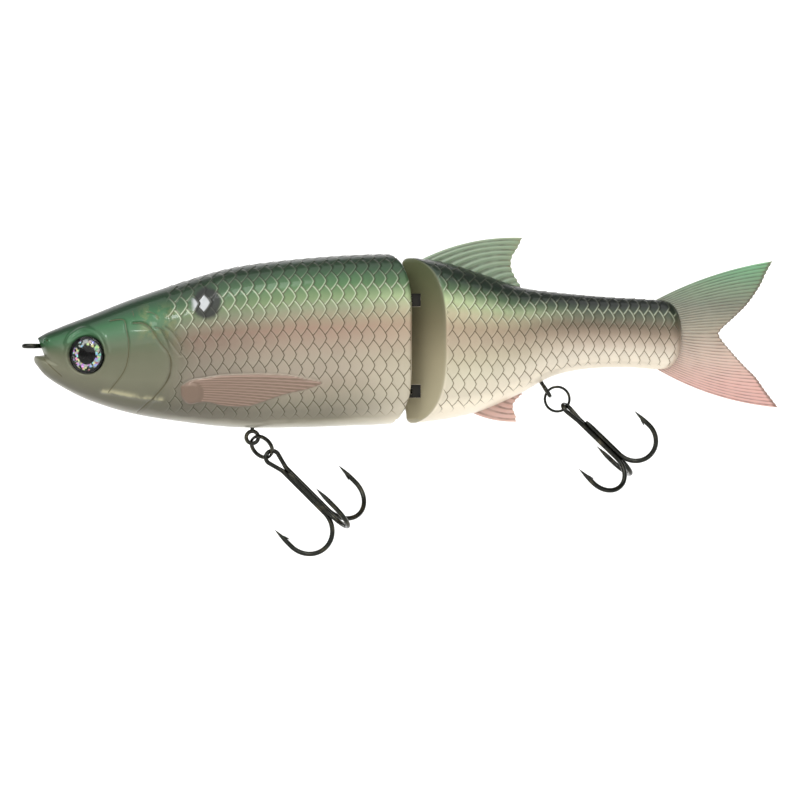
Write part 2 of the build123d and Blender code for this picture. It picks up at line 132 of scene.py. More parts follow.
def stations_at(stations, x):
    """Top, bottom, half width and squareness at every x, on smooth curves through the stations."""
    table = np.array(stations)
    xs = table[:, 0]
    i = np.clip(np.searchsorted(xs, x, side="right") - 1, 0, len(xs) - 2)
    step = xs[i + 1] - xs[i]
    t = (x - xs[i]) / step
    low = np.maximum(np.arange(len(xs)) - 1, 0)
    high = np.minimum(np.arange(len(xs)) + 1, len(xs) - 1)
    found = []
    for column in range(1, 5):
        value = table[:, column]
        slope = (value[high] - value[low]) / (xs[high] - xs[low])
        start, end = value[i], value[i + 1]
        rise = t * t * (3 - 2 * t)
        bows = t * (1 - t) ** 2 * step * slope[i] - t * t * (1 - t) * step * slope[i + 1]
        found.append(start + rise * (end - start) + bows)
    return found


def section_curves(stations, x, count):
    """Right half of the cross-section at every x, count points each: y, z and length from its middle."""
    top, bottom, half_width, squareness = (v[:, None] for v in stations_at(stations, x))
    angle = np.linspace(-math.pi / 2, math.pi / 2, 361)[None, :]
    power = 2 / squareness
    y = half_width * np.abs(np.cos(angle)) ** power
    middle, half_height = (top + bottom) / 2, (top - bottom) / 2
    z = middle + half_height * np.sign(np.sin(angle)) * np.abs(np.sin(angle)) ** power
    y[:, 0] = y[:, -1] = 0
    steps = np.cumsum(np.hypot(np.diff(y), np.diff(z)), axis=1)
    length = np.concatenate([np.zeros((len(x), 1)), steps], axis=1)
    out_y, out_z, out_s = (np.empty((len(x), count)) for _ in range(3))
    for k in range(len(x)):
        wanted = np.linspace(0, length[k, -1], count)
        out_y[k] = np.interp(wanted, length[k], y[k])
        out_z[k] = np.interp(wanted, length[k], z[k])
        out_s[k] = wanted - np.interp(0.0, angle[0], length[k])
    return out_y, out_z, out_s


# ---- relief ----


def smooth_line(points, steps=8):
    """Catmull-Rom curve through a few points."""
    p = np.array([points[0], *points, points[-1]], float)
    t = np.linspace(0, 1, steps, endpoint=False)[:, None]
    spans = []
    for a, b, c, d in zip(p, p[1:], p[2:], p[3:]):
        bend = (2 * a - 5 * b + 4 * c - d) * t**2
        spans.append(0.5 * (2 * b + (c - a) * t + bend + (3 * b - a - 3 * c + d) * t**3))
    return np.vstack([*spans, p[-1:]])


def distance_to_line(x, z, line):
    best = np.full(x.shape, 1e9)
    for (ax, az), (bx, bz) in zip(line, line[1:]):
        dx, dz = bx - ax, bz - az
        t = np.clip(((x - ax) * dx + (z - az) * dz) / (dx * dx + dz * dz + 1e-12), 0, 1)
        best = np.minimum(best, np.hypot(x - ax - t * dx, z - az - t * dz))
    return best


def inside_line(x, z, line):
    """True inside a closed line, by counting crossings."""
    inside = np.zeros(x.shape, bool)
    for (ax, az), (bx, bz) in zip(line, np.roll(line, -1, axis=0)):
        crosses = (az > z) != (bz > z)
        with np.errstate(divide="ignore", invalid="ignore"):
            inside ^= crosses & (x < (bx - ax) * (z - az) / (bz - az) + ax)
    return inside


def scale_relief(u, r):
    """Relief of overlapping scales on a staggered lattice. The foremost scale covers the others."""
    best = np.full(u.shape, NO_SCALE)
    for step in (-1, 0, 1):
        row = np.round(r) + step
        shift = 0.5 * np.mod(row, 2)
        across = np.abs((r - row) / SCALE_HEIGHT)
        half = SCALE_LENGTH * np.clip(1 - across**SCALE_POWER, 0, 1) ** (1 / SCALE_POWER)
        centre = np.ceil(u - half - shift) + shift
        best = np.minimum(best, np.where((half > 0) & (u - centre > -half), centre, NO_SCALE))
    return np.clip((u - best + 0.25) / 1.1, 0, 1) * (best < NO_SCALE)


# Lines of the head, seen from the side. Each is its points as (x, z), its depth and its width.
CHEEK_PLATE = [(19.2, 6.0), (22.4, 6.2), (23.2, 4.0), (23.9, 0.3), (23.6, -3.4), (22.4, -6.6), (19.0, -10.9)]
GILL_COVER = [
    (24.8, 5.4), (27.2, 5.3), (29.2, 3.8), (31.4, 0.6), (33.4, -1.9),
    (34.0, -4.4), (33.2, -8.0), (30.4, -11.6), (25.6, -15.9),
]
UPPER_JAW = [(3.2, -3.0), (4.9, -4.9), (7.6, -7.3)]
HEAD_LINES = [
    (CHEEK_PLATE, 0.26, 0.2),
    (GILL_COVER, 0.34, 0.24),
    ([(30.2, 4.3), (31.8, 3.7), (33.6, 1.2), (36.3, -2.4)], 0.2, 0.18),
    ([(32.6, 4.4), (34.4, 3.0), (36.8, -0.4)], 0.14, 0.18),
    ([(24.6, 8.2), (25.0, 6.9)], 0.14, 0.16),
    ([(28.2, 8.0), (29.8, 7.6), (30.8, 6.4)], 0.14, 0.16),
    (UPPER_JAW, 0.18, 0.2),
]
JAW_RIDGE = [(17.6, -10.6), (22.0, -11.2), (27.0, -12.0), (31.6, -12.7)]
BROW = [(9.0, 0.8), (9.9, 2.3), (12.8, 3.9), (16.0, 3.0), (17.6, 1.0), (18.2, -1.6)]
NOSTRIL = (3.9, 1.3)
PECTORAL = [
    (36.2, -9.6), (38.6, -8.2), (41.4, -7.7), (46.0, -7.0), (54.0, -6.7), (61.0, -6.9),
    (66.0, -7.8), (69.8, -8.8), (66.5, -10.3), (61.0, -11.6), (55.6, -13.4), (52.0, -14.4),
    (46.6, -14.3), (42.0, -13.4), (38.2, -13.9), (36.4, -12.4),
]
PECTORAL_BOSS = (38.9, -11.2, 2.5)  # x, z, radius of the disc at the fin's root
SPOT = (42.4, 10.0, 3.9)  # x, z, radius of the dark spot behind the gill cover


def head_lines(x, z):
    """Lines of the head: depth, how much painted shade each groove gets, and where the jaw's ridge and its
    painted highlight lie.
    """
    depth, shade = np.zeros(x.shape), np.zeros(x.shape)
    for points, deep, width in HEAD_LINES:
        near = fade(distance_to_line(x, z, smooth_line(points)), width)
        depth -= deep * near
        shade = np.maximum(shade, near)
    ridge = distance_to_line(x, z, smooth_line(JAW_RIDGE))
    depth += 0.5 * fade(ridge, 0.75)
    return depth, shade, fade(ridge, 0.5)


def gill_cover(x, z):
    """The cover's plate stands proud of the shoulder behind it."""
    edge = 33.9 - 0.045 * (z + 3.6) ** 2
    along = smoothstep(18.0, 30.0, x) * (1 - smoothstep(-0.15, 0.35, x - edge))
    return GILL_COVER_HEIGHT * along * smoothstep(-17, -11, z) * (1 - smoothstep(3.0, 6.0, z))


def pectoral_fin(x, z):
    """The fin moulded on the flank: its height, its rays and where it is."""
    line = smooth_line([*PECTORAL, PECTORAL[0]], 5)
    off = distance_to_line(x, z, line)
    inside = inside_line(x, z, line[:-1])
    share = np.where(inside, smoothstep(0.0, 0.35, off), 0)
    # The rays leave the boss and run close to the upper edge.
    from_top = -7.3 - 0.0018 * (x - 50.0) ** 2 - z
    ray = 0.5 + 0.5 * np.cos(2 * math.pi * from_top / (0.5 + 0.011 * (x - 38.0)))
    boss = np.hypot(x - PECTORAL_BOSS[0], z - PECTORAL_BOSS[1]) / PECTORAL_BOSS[2]
    ray = ray * smoothstep(1.0, 1.2, boss)
    body = PECTORAL_HEIGHT - 0.011 * np.maximum(x - 40, 0)
    disc = 0.3 * (1 - smoothstep(0.7, 1.0, boss)) - 0.12 * fade(boss - 1.1, 0.08)
    height = share * (body + 0.16 * ray + disc)
    return height, ray * share, np.where(inside, smoothstep(0.0, 0.2, off), 0), off


# ---- mesh helpers ----


def mesh_object(name, points, faces, smooth=True):
    mesh = bpy.data.meshes.new(name)
    mesh.from_pydata((np.asarray(points, float) * MM).tolist(), [], faces)
    mesh.validate()
    if smooth:
        mesh.polygons.foreach_set("use_smooth", np.ones(len(mesh.polygons), bool))
    thing = bpy.data.objects.new(name, mesh)
    bpy.context.scene.collection.objects.link(thing)
    return thing


def add_attributes(thing, **values):
    for name, value in values.items():
        made = thing.data.attributes.new(name, "FLOAT", "POINT")
        made.data.foreach_set("value", np.asarray(value, np.float32).ravel())


def make_outward(thing):
    bm = bmesh.new()
    bm.from_mesh(thing.data)
    bmesh.ops.recalc_face_normals(bm, faces=bm.faces)
    bm.to_mesh(thing.data)
    bm.free()


def grid_faces(rows, columns, flip):
    a = np.arange(rows - 1)[:, None] * columns + np.arange(columns - 1)[None, :]
    quads = np.stack([a, a + columns, a + columns + 1, a + 1], axis=-1).reshape(-1, 4)
    return (quads[:, ::-1] if flip else quads).tolist()


def grid_border(rows, columns):
    """Indices of a grid's points, in order round its edge."""
    index = np.arange(rows * columns).reshape(rows, columns)
    return [*index[:, 0], *index[-1, 1:], *index[-2::-1, -1], *index[0, -2:0:-1]]


def close_half(points, rows, columns, flip):
    """Faces of the flat side of a half shell, inside the outline of its grid."""
    loop = grid_border(rows, columns)
    outline = [Vector((points[i][0], points[i][2], 0)) for i in loop]
    triangles = [[int(loop[i]) for i in t] for t in tessellate_polygon([outline])]
    area = sum(signed_area(points, t) for t in triangles)
    wanted = 1 if flip else -1
    return [t if area * wanted > 0 else t[::-1] for t in triangles]


def signed_area(points, t):
    """Twice the area of triangle t in the middle plane, negative where it runs the other way round."""
    (ax, _, az), (bx, _, bz), (cx, _, cz) = (points[i] for i in t)
    return (bx - ax) * (cz - az) - (bz - az) * (cx - ax)


def normals_of(p):
    normal = np.cross(np.gradient(p, axis=0), np.gradient(p, axis=1))
    return -normal / np.maximum(np.linalg.norm(normal, axis=2, keepdims=True), 1e-9)


def half_shell(name, p, side, attributes):
    """Closed mesh of one half shell, from its grid. side is -1 on the left and 1 on the right."""
    rows, columns = p.shape[:2]
    p = p.copy()
    p[..., 1] = np.maximum(p[..., 1], SEAM_GAP) * side
    points = p.reshape(-1, 3)
    flip = side < 0
    faces = grid_faces(rows, columns, not flip) + close_half(points, rows, columns, flip)
    shell = mesh_object(name, points, faces)
    add_attributes(shell, **attributes)
    make_outward(shell)
    return shell


def cut_away(thing, cutter):
    """Takes cutter's solid out of thing."""
    modifier = thing.modifiers.new("cut", "BOOLEAN")
    modifier.operation = "DIFFERENCE"
    modifier.solver = "EXACT"
    modifier.object = cutter
    bpy.context.view_layer.update()
    depsgraph = bpy.context.evaluated_depsgraph_get()
    cut = bpy.data.meshes.new_from_object(thing.evaluated_get(depsgraph), depsgraph=depsgraph)
    thing.modifiers.clear()
    thing.data = cut
    bpy.data.objects.remove(cutter)


def prism(name, outline, start, end, axis=0):
    """Solid along X from its outline in (y, z), or along Z (axis=2) from its outline in (x, y)."""
    n = len(outline)
    points = [(v, a, b) if axis == 0 else (a, b, v) for v in (start, end) for a, b in outline]
    sides = [[i, (i + 1) % n, n + (i + 1) % n, n + i] for i in range(n)]
    solid = mesh_object(name, points, [list(range(n))[::-1], list(range(n, 2 * n)), *sides], smooth=False)
    add_attributes(solid, flat=np.ones(2 * n))
    return solid


# ---- body sections ----


def paint_attributes(shape, **given):
    """Every number that the paint reads from the skin, and 0 for what isn't given."""
    names = ("girth", "scale_u", "scale_r", "covered", "shade", "ridge", "fin", "ray", "spot", "flat")
    return {name: np.broadcast_to(given.get(name, 0.0), shape) for name in names}


def front_skin():
    """Grid of the front section's painted skin, on the right side, with its paint's attributes."""
    x0, x1 = FRONT_STATIONS[0][0], RIM_X
    columns = int(50 / GRID)
    # Rows of the grid are closer together at the nose and at the rim.
    along = np.linspace(0, 1, int((x1 - x0) / GRID))
    along = np.concatenate([np.linspace(0, along[8], 25)[:-1], along[8:-4], np.linspace(along[-4], 1, 13)])
    x = x0 + (x1 - x0) * along
    y, z, s = section_curves(FRONT_STATIONS, x, columns)
    xx = np.repeat(x[:, None], columns, axis=1)

    # The nose: the upper lip slopes back to the mouth, and the lower jaw juts out below it.
    edge_z = z[:1]
    lip = np.maximum(1.42 + 0.37 * (2.15 - edge_z), 1.4)
    jaw = 0.62 + 0.3 * (edge_z + 3.15) ** 2
    front = lip + (jaw - lip) * smoothstep(2.12, 2.42, -edge_z)
    reach, nose_rounding = 7.0, 2.6
    xx = np.where(xx < x0 + reach, front + (xx - x0) * (x0 + reach - front) / reach, xx)
    y = y * arc(1 - (x - x0) / nose_rounding)[:, None]

    # The rim round the joint: its corners are rounded off, and its edge is turned in a little.
    corner, corner_height, band = 6.6, 13.9, 9.0
    beyond = np.maximum(z - 8.0, -5.0 - z) / corner_height
    end = (RIM_X - corner) + corner * arc(beyond, 2.2)
    band_start = RIM_X - band
    xx = np.where(xx > band_start, band_start + (xx - band_start) * (end - band_start) / band, xx)
    rim_depth, rim_length = 0.55, 0.9
    turn_in = rim_depth * (1 - arc((x - x1 + rim_length) / rim_length))
    y = np.maximum(y - turn_in[:, None], 0)
    p = np.stack([xx, y, z], axis=-1)
    normal = normals_of(p)

    top, bottom, _, _ = (v[:, None] for v in stations_at(FRONT_STATIONS, x))
    girth = (z - bottom) / (top - bottom)
    start = 35.4 - 0.03 * np.minimum(z + 3.0, 10.0) ** 2
    covered = smoothstep(0, 1.4, xx - start) * smoothstep(0.045, 0.1, girth)
    covered = covered * (1 - smoothstep(RIM_X - 0.4, RIM_X - 0.1, xx))
    fin_height, ray, fin, fin_off = pectoral_fin(xx, z)
    scale_u, scale_r = xx / FRONT_PITCH, s / FRONT_ROW - 0.2
    relief = scale_relief(scale_u, scale_r)
    covered = covered * (1 - fin) * smoothstep(0.0, 0.5, np.where(fin > 0, 0, fin_off))
    depth, shade, ridge = head_lines(xx, z)
    brow = distance_to_line(xx, z, smooth_line(BROW))
    from_eye = p - EYE_CENTRE
    from_axis = np.linalg.norm(from_eye - (from_eye @ EYE_AXIS)[..., None] * EYE_AXIS, axis=-1)
    nostril = np.hypot(xx - NOSTRIL[0], (z - NOSTRIL[1]) * 1.4)
    height = (
        FRONT_RELIEF * relief * covered
        + depth
        + gill_cover(xx, z)
        + 0.42 * fade(brow, 0.6)
        + 0.25 * fade(from_axis - 5.0, 0.5)
        + 0.2 * fade(nostril - 0.55, 0.22)
        - 0.35 * fade(nostril, 0.3)
        + fin_height
        - 0.05 * fade(fin_off, 0.3) * (fin == 0)
    )
    height *= smoothstep(0.0, 0.7, y)
    p = p + normal * height[..., None]
    # The eye's socket has a flat floor.
    from_eye = p - EYE_CENTRE
    out = from_eye @ EYE_AXIS
    from_axis = np.linalg.norm(from_eye - out[..., None] * EYE_AXIS, axis=-1)
    sink = np.where(out > -4, 1 - smoothstep(EYE_RADIUS + 0.02, EYE_RADIUS + 0.22, from_axis), 0)
    p = p - EYE_AXIS * ((out + EYE_SOCKET_DEPTH + 0.02) * sink)[..., None]
    spot = np.hypot(xx - SPOT[0], (z - SPOT[1]) * 0.9) / SPOT[2]
    attributes = paint_attributes(
        z.shape,
        girth=girth,
        scale_u=scale_u,
        scale_r=scale_r,
        covered=covered,
        # Painted shade for the head's grooves and the nostril's pit; ridge marks where the jaw's painted
        # highlight goes.
        shade=shade + fade(nostril, 0.35),
        ridge=ridge,
        fin=fin,
        ray=ray,
        spot=1 - smoothstep(0.45, 1.2, spot),
    )
    # The rim's end face runs in to the middle.
    inward = np.linspace(1, 0, 13)[1:, None]
    more = len(inward)
    face = np.repeat(p[-1:], more, axis=0)
    face[..., 1] *= inward
    for name, value in attributes.items():
        attributes[name] = np.concatenate([value, np.repeat(value[-1:], more, axis=0)])
    return np.concatenate([p, face]), attributes


def nose_x(y):
    """Front of the rear section in plan: a nose round the pin and a flat each side."""
    lean = math.cos(math.atan(NOSE_SLOPE))
    round_part = PIN_X - np.sqrt(np.clip(NOSE_RADIUS**2 - y**2, 0, None))
    flat_part = PIN_X + (y - NOSE_RADIUS / lean) / NOSE_SLOPE
    return np.where(y < NOSE_RADIUS * lean, round_part, flat_part)


def rear_skin():
    """Grid of the rear section's skin, on the right side: over the nose's flat, round its edge, and back."""
    columns = int(46 / GRID)
    near, far = 90.0, 156.0
    x = np.linspace(near, far, int((far - near) / GRID))
    y, z, s = section_curves(REAR_STATIONS, x, columns)

    def on_lines(places, values):
        """values along each lengthwise line of the skin, at places instead of at x."""
        return np.stack([np.interp(places[:, k], x, values[:, k]) for k in range(columns)], axis=1)

    # Where each lengthwise line meets the nose's flat.
    ahead = x[:, None] - nose_x(y)
    start = np.array([np.interp(0.0, ahead[:, k], x) for k in range(columns)])
    edge_y, edge_z = (on_lines(start[None, :], values)[0] for values in (y, z))
    rounding = 0.7
    flat_rows, bend_rows = 60, 5
    t = np.linspace(0, 1, flat_rows)
    reach = np.maximum(edge_y[None, :] - rounding * 0.7, 0) * t[:, None]
    flat = np.stack([nose_x(reach), reach, np.repeat(edge_z[None, :], flat_rows, axis=0)], axis=-1)
    share = np.linspace(0, 1, int((far - REAR_SCALES_START) / GRID))
    along = start[None, :] + rounding + (far - start[None, :] - rounding) * share[:, None]
    skin = np.stack([along, on_lines(along, y), on_lines(along, z)], axis=-1)
    length = on_lines(along, s)
    corner = np.stack([start, edge_y, edge_z], axis=-1)
    turn = np.linspace(0, 1, bend_rows + 2)[1:-1, None, None]
    bend = (1 - turn) ** 2 * flat[-1] + 2 * turn * (1 - turn) * corner + turn**2 * skin[0]
    p = np.concatenate([flat, bend, skin])
    # The nose's top and foot are rounded, and the foot stands back a little.
    nose_top, nose_foot, radius = edge_z.max(), edge_z.min(), 1.4
    beyond = np.maximum(p[..., 2] - (nose_top - radius), (nose_foot + radius) - p[..., 2])
    beyond = beyond / radius
    back_by = radius * (1 - arc(beyond)) + smoothstep(11.0, 17.0, -p[..., 2])
    p[..., 0] += back_by * (1 - smoothstep(88.0, 97.0, p[..., 0]))
    s_all = np.concatenate([np.repeat(length[:1], flat_rows + bend_rows, axis=0), length])
    bending = np.linspace(1, 0, bend_rows + 2)[1:-1]
    is_flat = np.concatenate([np.ones(flat_rows), bending, np.zeros(len(share))])[:, None]

    # The tail root's end is a rounded lobe.
    lobe_middle, lobe_half_height = 2.65, 8.4
    end = 149.6 + 5.8 * arc(np.abs(p[..., 2] - lobe_middle) / lobe_half_height, 2.5)
    back = far - 12.0
    nominal = p[..., 0].copy()
    p[..., 0] = np.where(nominal > back, back + (nominal - back) * (end - back) / (far - back), nominal)
    close = np.clip((nominal - (far - 3.0)) / 3.0, 0, 1)
    p[..., 1] *= arc(close)
    normal = normals_of(p)

    top, bottom, _, _ = stations_at(REAR_STATIONS, np.clip(nominal, 88.0, 157.0).ravel())
    girth = (p[..., 2] - bottom.reshape(nominal.shape)) / (top - bottom).reshape(nominal.shape)
    xx, z = p[..., 0], p[..., 2]
    from_start = xx - REAR_SCALES_START
    scale_u, scale_r = from_start / (REAR_PITCH - 0.0035 * from_start) + 0.3, s_all / REAR_ROW
    relief = scale_relief(scale_u, scale_r)
    covered = (1 - is_flat) * smoothstep(0.035, 0.09, girth) * (1 - smoothstep(0.55, 0.9, close))
    covered = covered * smoothstep(0.2, 1.0, xx - nose_x(p[..., 1]))
    height = REAR_RELIEF * relief * covered * smoothstep(0.0, 0.7, p[..., 1])
    p = p + normal * height[..., None]
    attributes = paint_attributes(
        z.shape, girth=girth, scale_u=scale_u, scale_r=scale_r, covered=covered, flat=is_flat
    )
    return p, attributes


def recess_cutter(side):
    """The space that the rear section's nose turns in."""
    y, z, _ = section_curves(FRONT_STATIONS, np.array([RECESS_X]), 121)
    top, bottom, half_width, _ = (float(v[0]) for v in stations_at(FRONT_STATIONS, np.array([RECESS_X])))
    middle = (top + bottom) / 2
    half_height = (top - bottom) / 2
    y = y[0] * (half_width - RECESS_RIM) / half_width
    z = middle + (z[0] - middle) * (half_height - RECESS_RIM) / half_height
    wall = [(a, b) for a, b in zip(y, z) if a > RECESS_OPEN_HALF_WIDTH]
    # It is open above and below between the walls, and goes past the middle and the rim.
    inner, outer, far = -1.0, RECESS_OPEN_HALF_WIDTH, 40.0
    outline = [(inner, -far), (outer, -far), (outer, wall[0][1]), *wall]
    outline += [(outer, wall[-1][1]), (outer, far), (inner, far)]
    return prism("recess_cutter", [(side * a, b) for a, b in outline][::side], RECESS_X, RIM_X + 5.0)


def build_front_shells():
    p, attributes = front_skin()
    shells = []
    for side, word in ((-1, "left"), (1, "right")):
        shell = half_shell(f"front_shell_{word}_skin", p, side, attributes)
        cut_away(shell, recess_cutter(side))
        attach(shell, "front_section")
        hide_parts(f"front_shell_{word}")
        shells.append(shell)
    return shells


def cut_hinge_slots(shell, side):
    """Each hinge eye turns in a slot, and a blind pocket lies beside it in the flat of the nose."""
    ahead, far = 80.0, 15.0  # past the nose and past the flank
    turns = np.linspace(-math.pi / 2, math.pi / 2, 20)
    round_end = [(PIN_X + HINGE_SLIT_RADIUS * math.cos(a), HINGE_SLIT_RADIUS * math.sin(a)) for a in turns]
    slit = [(ahead, -far), (PIN_X, -far), *round_end, (PIN_X, far), (ahead, far)]
    for z in HINGE_EYE_Z:
        half = HINGE_SLIT_HEIGHT / 2
        cut_away(shell, prism("slit_cutter", slit, z - half, z + half, axis=2))
        low, high = z - HINGE_POCKET_HEIGHT / 2, z + HINGE_POCKET_HEIGHT / 2
        box = [(HINGE_POCKET_FLOOR, low), (far, low), (far, high), (HINGE_POCKET_FLOOR, high)]
        box = [(side * a, b) for a, b in box][::side]
        cut_away(shell, prism("pocket_cutter", box, ahead, HINGE_POCKET_BACK))


def build_rear_shells():
    p, attributes = rear_skin()
    shells = []
    for side, word in ((-1, "left"), (1, "right")):
        shell = half_shell(f"rear_shell_{word}_skin", p, side, attributes)
        cut_hinge_slots(shell, side)
        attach(shell, "rear_section")
        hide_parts(f"rear_shell_{word}")
        shells.append(shell)
    return shells


# ---- wires, rings and hooks ----


def tube(path, radii, sides=14):
    """Closed tube along a path: points and faces. radii holds one radius for each point."""
    path = np.asarray(path, float)
    along = np.gradient(path, axis=0)
    along /= np.linalg.norm(along, axis=1, keepdims=True)
    side = np.cross(along[0], [0.31, 0.57, 0.76])  # any direction that no path starts along
    side /= np.linalg.norm(side)
    angle = np.linspace(0, 2 * math.pi, sides, endpoint=False)
    points = []
    for centre, direction, radius in zip(path, along, radii):
        side = side - (side @ direction) * direction
        side /= np.linalg.norm(side)
        other = np.cross(direction, side)
        points.append(centre + radius * (np.cos(angle)[:, None] * side + np.sin(angle)[:, None] * other))
    return capped(np.array(points))


def capped(rings):
    """Points and faces of a closed body through rings of points."""
    rows, sides = rings.shape[:2]
    points = rings.reshape(-1, 3)
    faces = []
    for i in range(rows - 1):
        for k in range(sides):
            a, b = i * sides + k, i * sides + (k + 1) % sides
            faces.append([a, b, b + sides, a + sides])
    faces.append(list(range(sides))[::-1])
    faces.append(list(range((rows - 1) * sides, rows * sides)))
    return points, faces


def merged(bodies):
    points, faces, offset = [], [], 0
    for p, f in bodies:
        points.append(p)
        faces += [[i + offset for i in face] for face in f]
        offset += len(p)
    return np.vstack(points), faces


HOOK_WIRE = 1.05
FORGED_WIRE = 1.17  # the shanks and bends are a little thicker than the eye
SHANK_GAP = 0.06
HOOK_EYE_RADIUS = 1.6
HOOK_EYE_HEIGHT = 3.88
SHANK_LENGTH = 14.3
BEND_RADIUS = 6.05
POINT_LENGTH = 5.6
REAR_HOOK_SIZE = 0.87  # the rear treble is one size smaller
RING_RADIUS = 2.93
TAPER = 4.4  # length over which the point narrows
DOWN = np.array([0, 0, -1.0])


def outwards(direction):
    """Direction in degrees round a treble's shank, as a vector."""
    return np.array([math.cos(math.radians(direction)), math.sin(math.radians(direction)), 0])


def hook_path(start, direction, top, size):
    """Point, bend and shank of one hook, in the treble's own frame, from the tip to height top."""
    shank, bend, point = SHANK_LENGTH * size, BEND_RADIUS * size, POINT_LENGTH * size
    out = outwards(direction)
    start = np.asarray(start, float)
    tip = start + out * 2 * bend + DOWN * (shank - point)
    leg = [tip + DOWN * point * t for t in np.linspace(0, 1, 18)]
    centre = start + out * bend + DOWN * shank
    curve = [centre + bend * (out * math.cos(a) + DOWN * math.sin(a)) for a in np.linspace(0, math.pi, 40)]
    stem = [start + DOWN * (shank + (-top - shank) * t) for t in np.linspace(0, 1, 12)]
    return np.array([*leg, *curve[1:], *stem[1:]])


def hook_radii(path, both_ends=False):
    """The wire's radius along a path that starts at a point, and ends at one if both_ends."""
    steps = np.linalg.norm(np.diff(path, axis=0), axis=1)
    along = np.concatenate([[0], np.cumsum(steps)])
    from_tip = np.minimum(along, along[-1] - along) if both_ends else along
    return FORGED_WIRE / 2 * (0.06 + 0.94 * np.sin(np.clip(from_tip / TAPER, 0, 1) * math.pi / 2))


def barb(start, direction, size):
    """Sliver raised from the inside of the point."""
    out = outwards(direction)
    tip = np.asarray(start, float) + size * (out * 2 * BEND_RADIUS + DOWN * (SHANK_LENGTH - POINT_LENGTH))
    root = tip + DOWN * 2.4 - out * 0.1
    end = tip + DOWN * 4.3 - out * 0.95
    share = np.linspace(0, 1, 7)[:, None]
    bow, thickness = 0.12, 0.32
    path = root + (end - root) * share - out * bow * np.sin(share * math.pi)
    return tube(path, thickness * (1 - share[:, 0]) ** 0.7 + 0.02, 8)


def double_hook(size):
    """Two hooks of one wire, with the eye between them."""
    half = (HOOK_WIRE + SHANK_GAP) / 2
    eye_distance = math.hypot(half, HOOK_EYE_HEIGHT)
    lean = math.asin(HOOK_EYE_RADIUS / eye_distance) - math.asin(half / eye_distance)
    first = hook_path((half, 0, 0), 30, -0.6, size)
    second = hook_path((-half, 0, 0), 150, -0.6, size)[::-1]
    turns = np.linspace(-lean, math.pi + lean, 34)
    eye = [(HOOK_EYE_RADIUS * math.cos(a), 0, HOOK_EYE_HEIGHT + HOOK_EYE_RADIUS * math.sin(a)) for a in turns]
    throat = np.array([(half + 0.02, 0, -0.25), (half + 0.1, 0, 0.2), (half + 0.22, 0, 0.65)])
    leg = np.array(eye[0]) - throat[-1]
    neck = np.array([*throat, *(throat[-1] + leg * t for t in (0.25, 0.5, 0.75))])
    path = np.array([*first, *neck, *eye, *(neck[::-1] * (-1, 1, 1)), *second])
    thinner = 1 - (1 - HOOK_WIRE / FORGED_WIRE) * smoothstep(-0.5, 1.0, path[:, 2])
    barbs = [barb((half, 0, 0), 30, size), barb((-half, 0, 0), 150, size)]
    return merged([tube(path, hook_radii(path, True) * thinner), *barbs])


def third_hook(size):
    """The hook that is brazed into the groove between the other two shanks."""
    start = (0, -(HOOK_WIRE + SHANK_GAP) * math.sqrt(3) / 2, 0)
    path = hook_path(start, -90, -1.2, size)
    radii = hook_radii(path)
    radii[-3:] *= np.array([1.0, 0.9, 0.6])
    return merged([tube(path, radii), barb(start, -90, size)])


def split_ring():
    """Two flat turns of spring wire that lie side by side, with a step where they cross over."""
    radius, radial, axial = RING_RADIUS, 0.62, 0.44
    end_gap = 0.06
    turns = np.linspace(end_gap, 4 * math.pi - end_gap, 190)
    lift = axial * 1.03 * (smoothstep(2 * math.pi - 0.35, 2 * math.pi + 0.35, turns) - 0.5)
    corner = np.linspace(0, 2 * math.pi, 16, endpoint=False) + math.pi / 16
    a = np.sign(np.cos(corner)) * np.abs(np.cos(corner)) ** 0.5 * radial / 2
    b = np.sign(np.sin(corner)) * np.abs(np.sin(corner)) ** 0.5 * axial / 2
    rings = []
    for t, h in zip(turns, lift):
        out = np.array([math.cos(t), math.sin(t), 0])
        rings.append(out * (radius + a[:, None]) + np.array([0, 0, 1.0]) * (h + b[:, None]))
    return capped(np.array(rings))


def placed(body, origin, x_dir, z_dir):
    """A body's points and faces, moved from its own frame to the lure's."""
    points, faces = body
    z_axis = np.array(z_dir, float) / np.linalg.norm(z_dir)
    x_axis = np.array(x_dir, float)
    x_axis = x_axis - (x_axis @ z_axis) * z_axis
    x_axis /= np.linalg.norm(x_axis)
    y_axis = np.cross(z_axis, x_axis)
    return points @ np.array([x_axis, y_axis, z_axis]) + np.asarray(origin, float), faces


def unit(x, y, z):
    v = np.array([x, y, z], float)
    return v / np.linalg.norm(v)


FRONT_HANGER = np.array([52.8, 0, -21.82])
REAR_HANGER = np.array([123.13, 0, -10.68])
FRONT_CHAIN = unit(1, 0, -1)
REAR_CHAIN = unit(0.78, 0, -0.62)
REAR_HOOK_DIRECTION = unit(0.719, 0, -0.695)
RING_REACH = RING_RADIUS + 0.3
HOOK_REACH = 3.58 + HOOK_EYE_HEIGHT


def turned(chain, turn):
    """Direction square to the chain, turned about it from upwards towards the left side."""
    up = np.array([-chain[2], 0, chain[0]])
    return up * math.cos(math.radians(turn)) + np.array([0, -1.0, 0]) * math.sin(math.radians(turn))


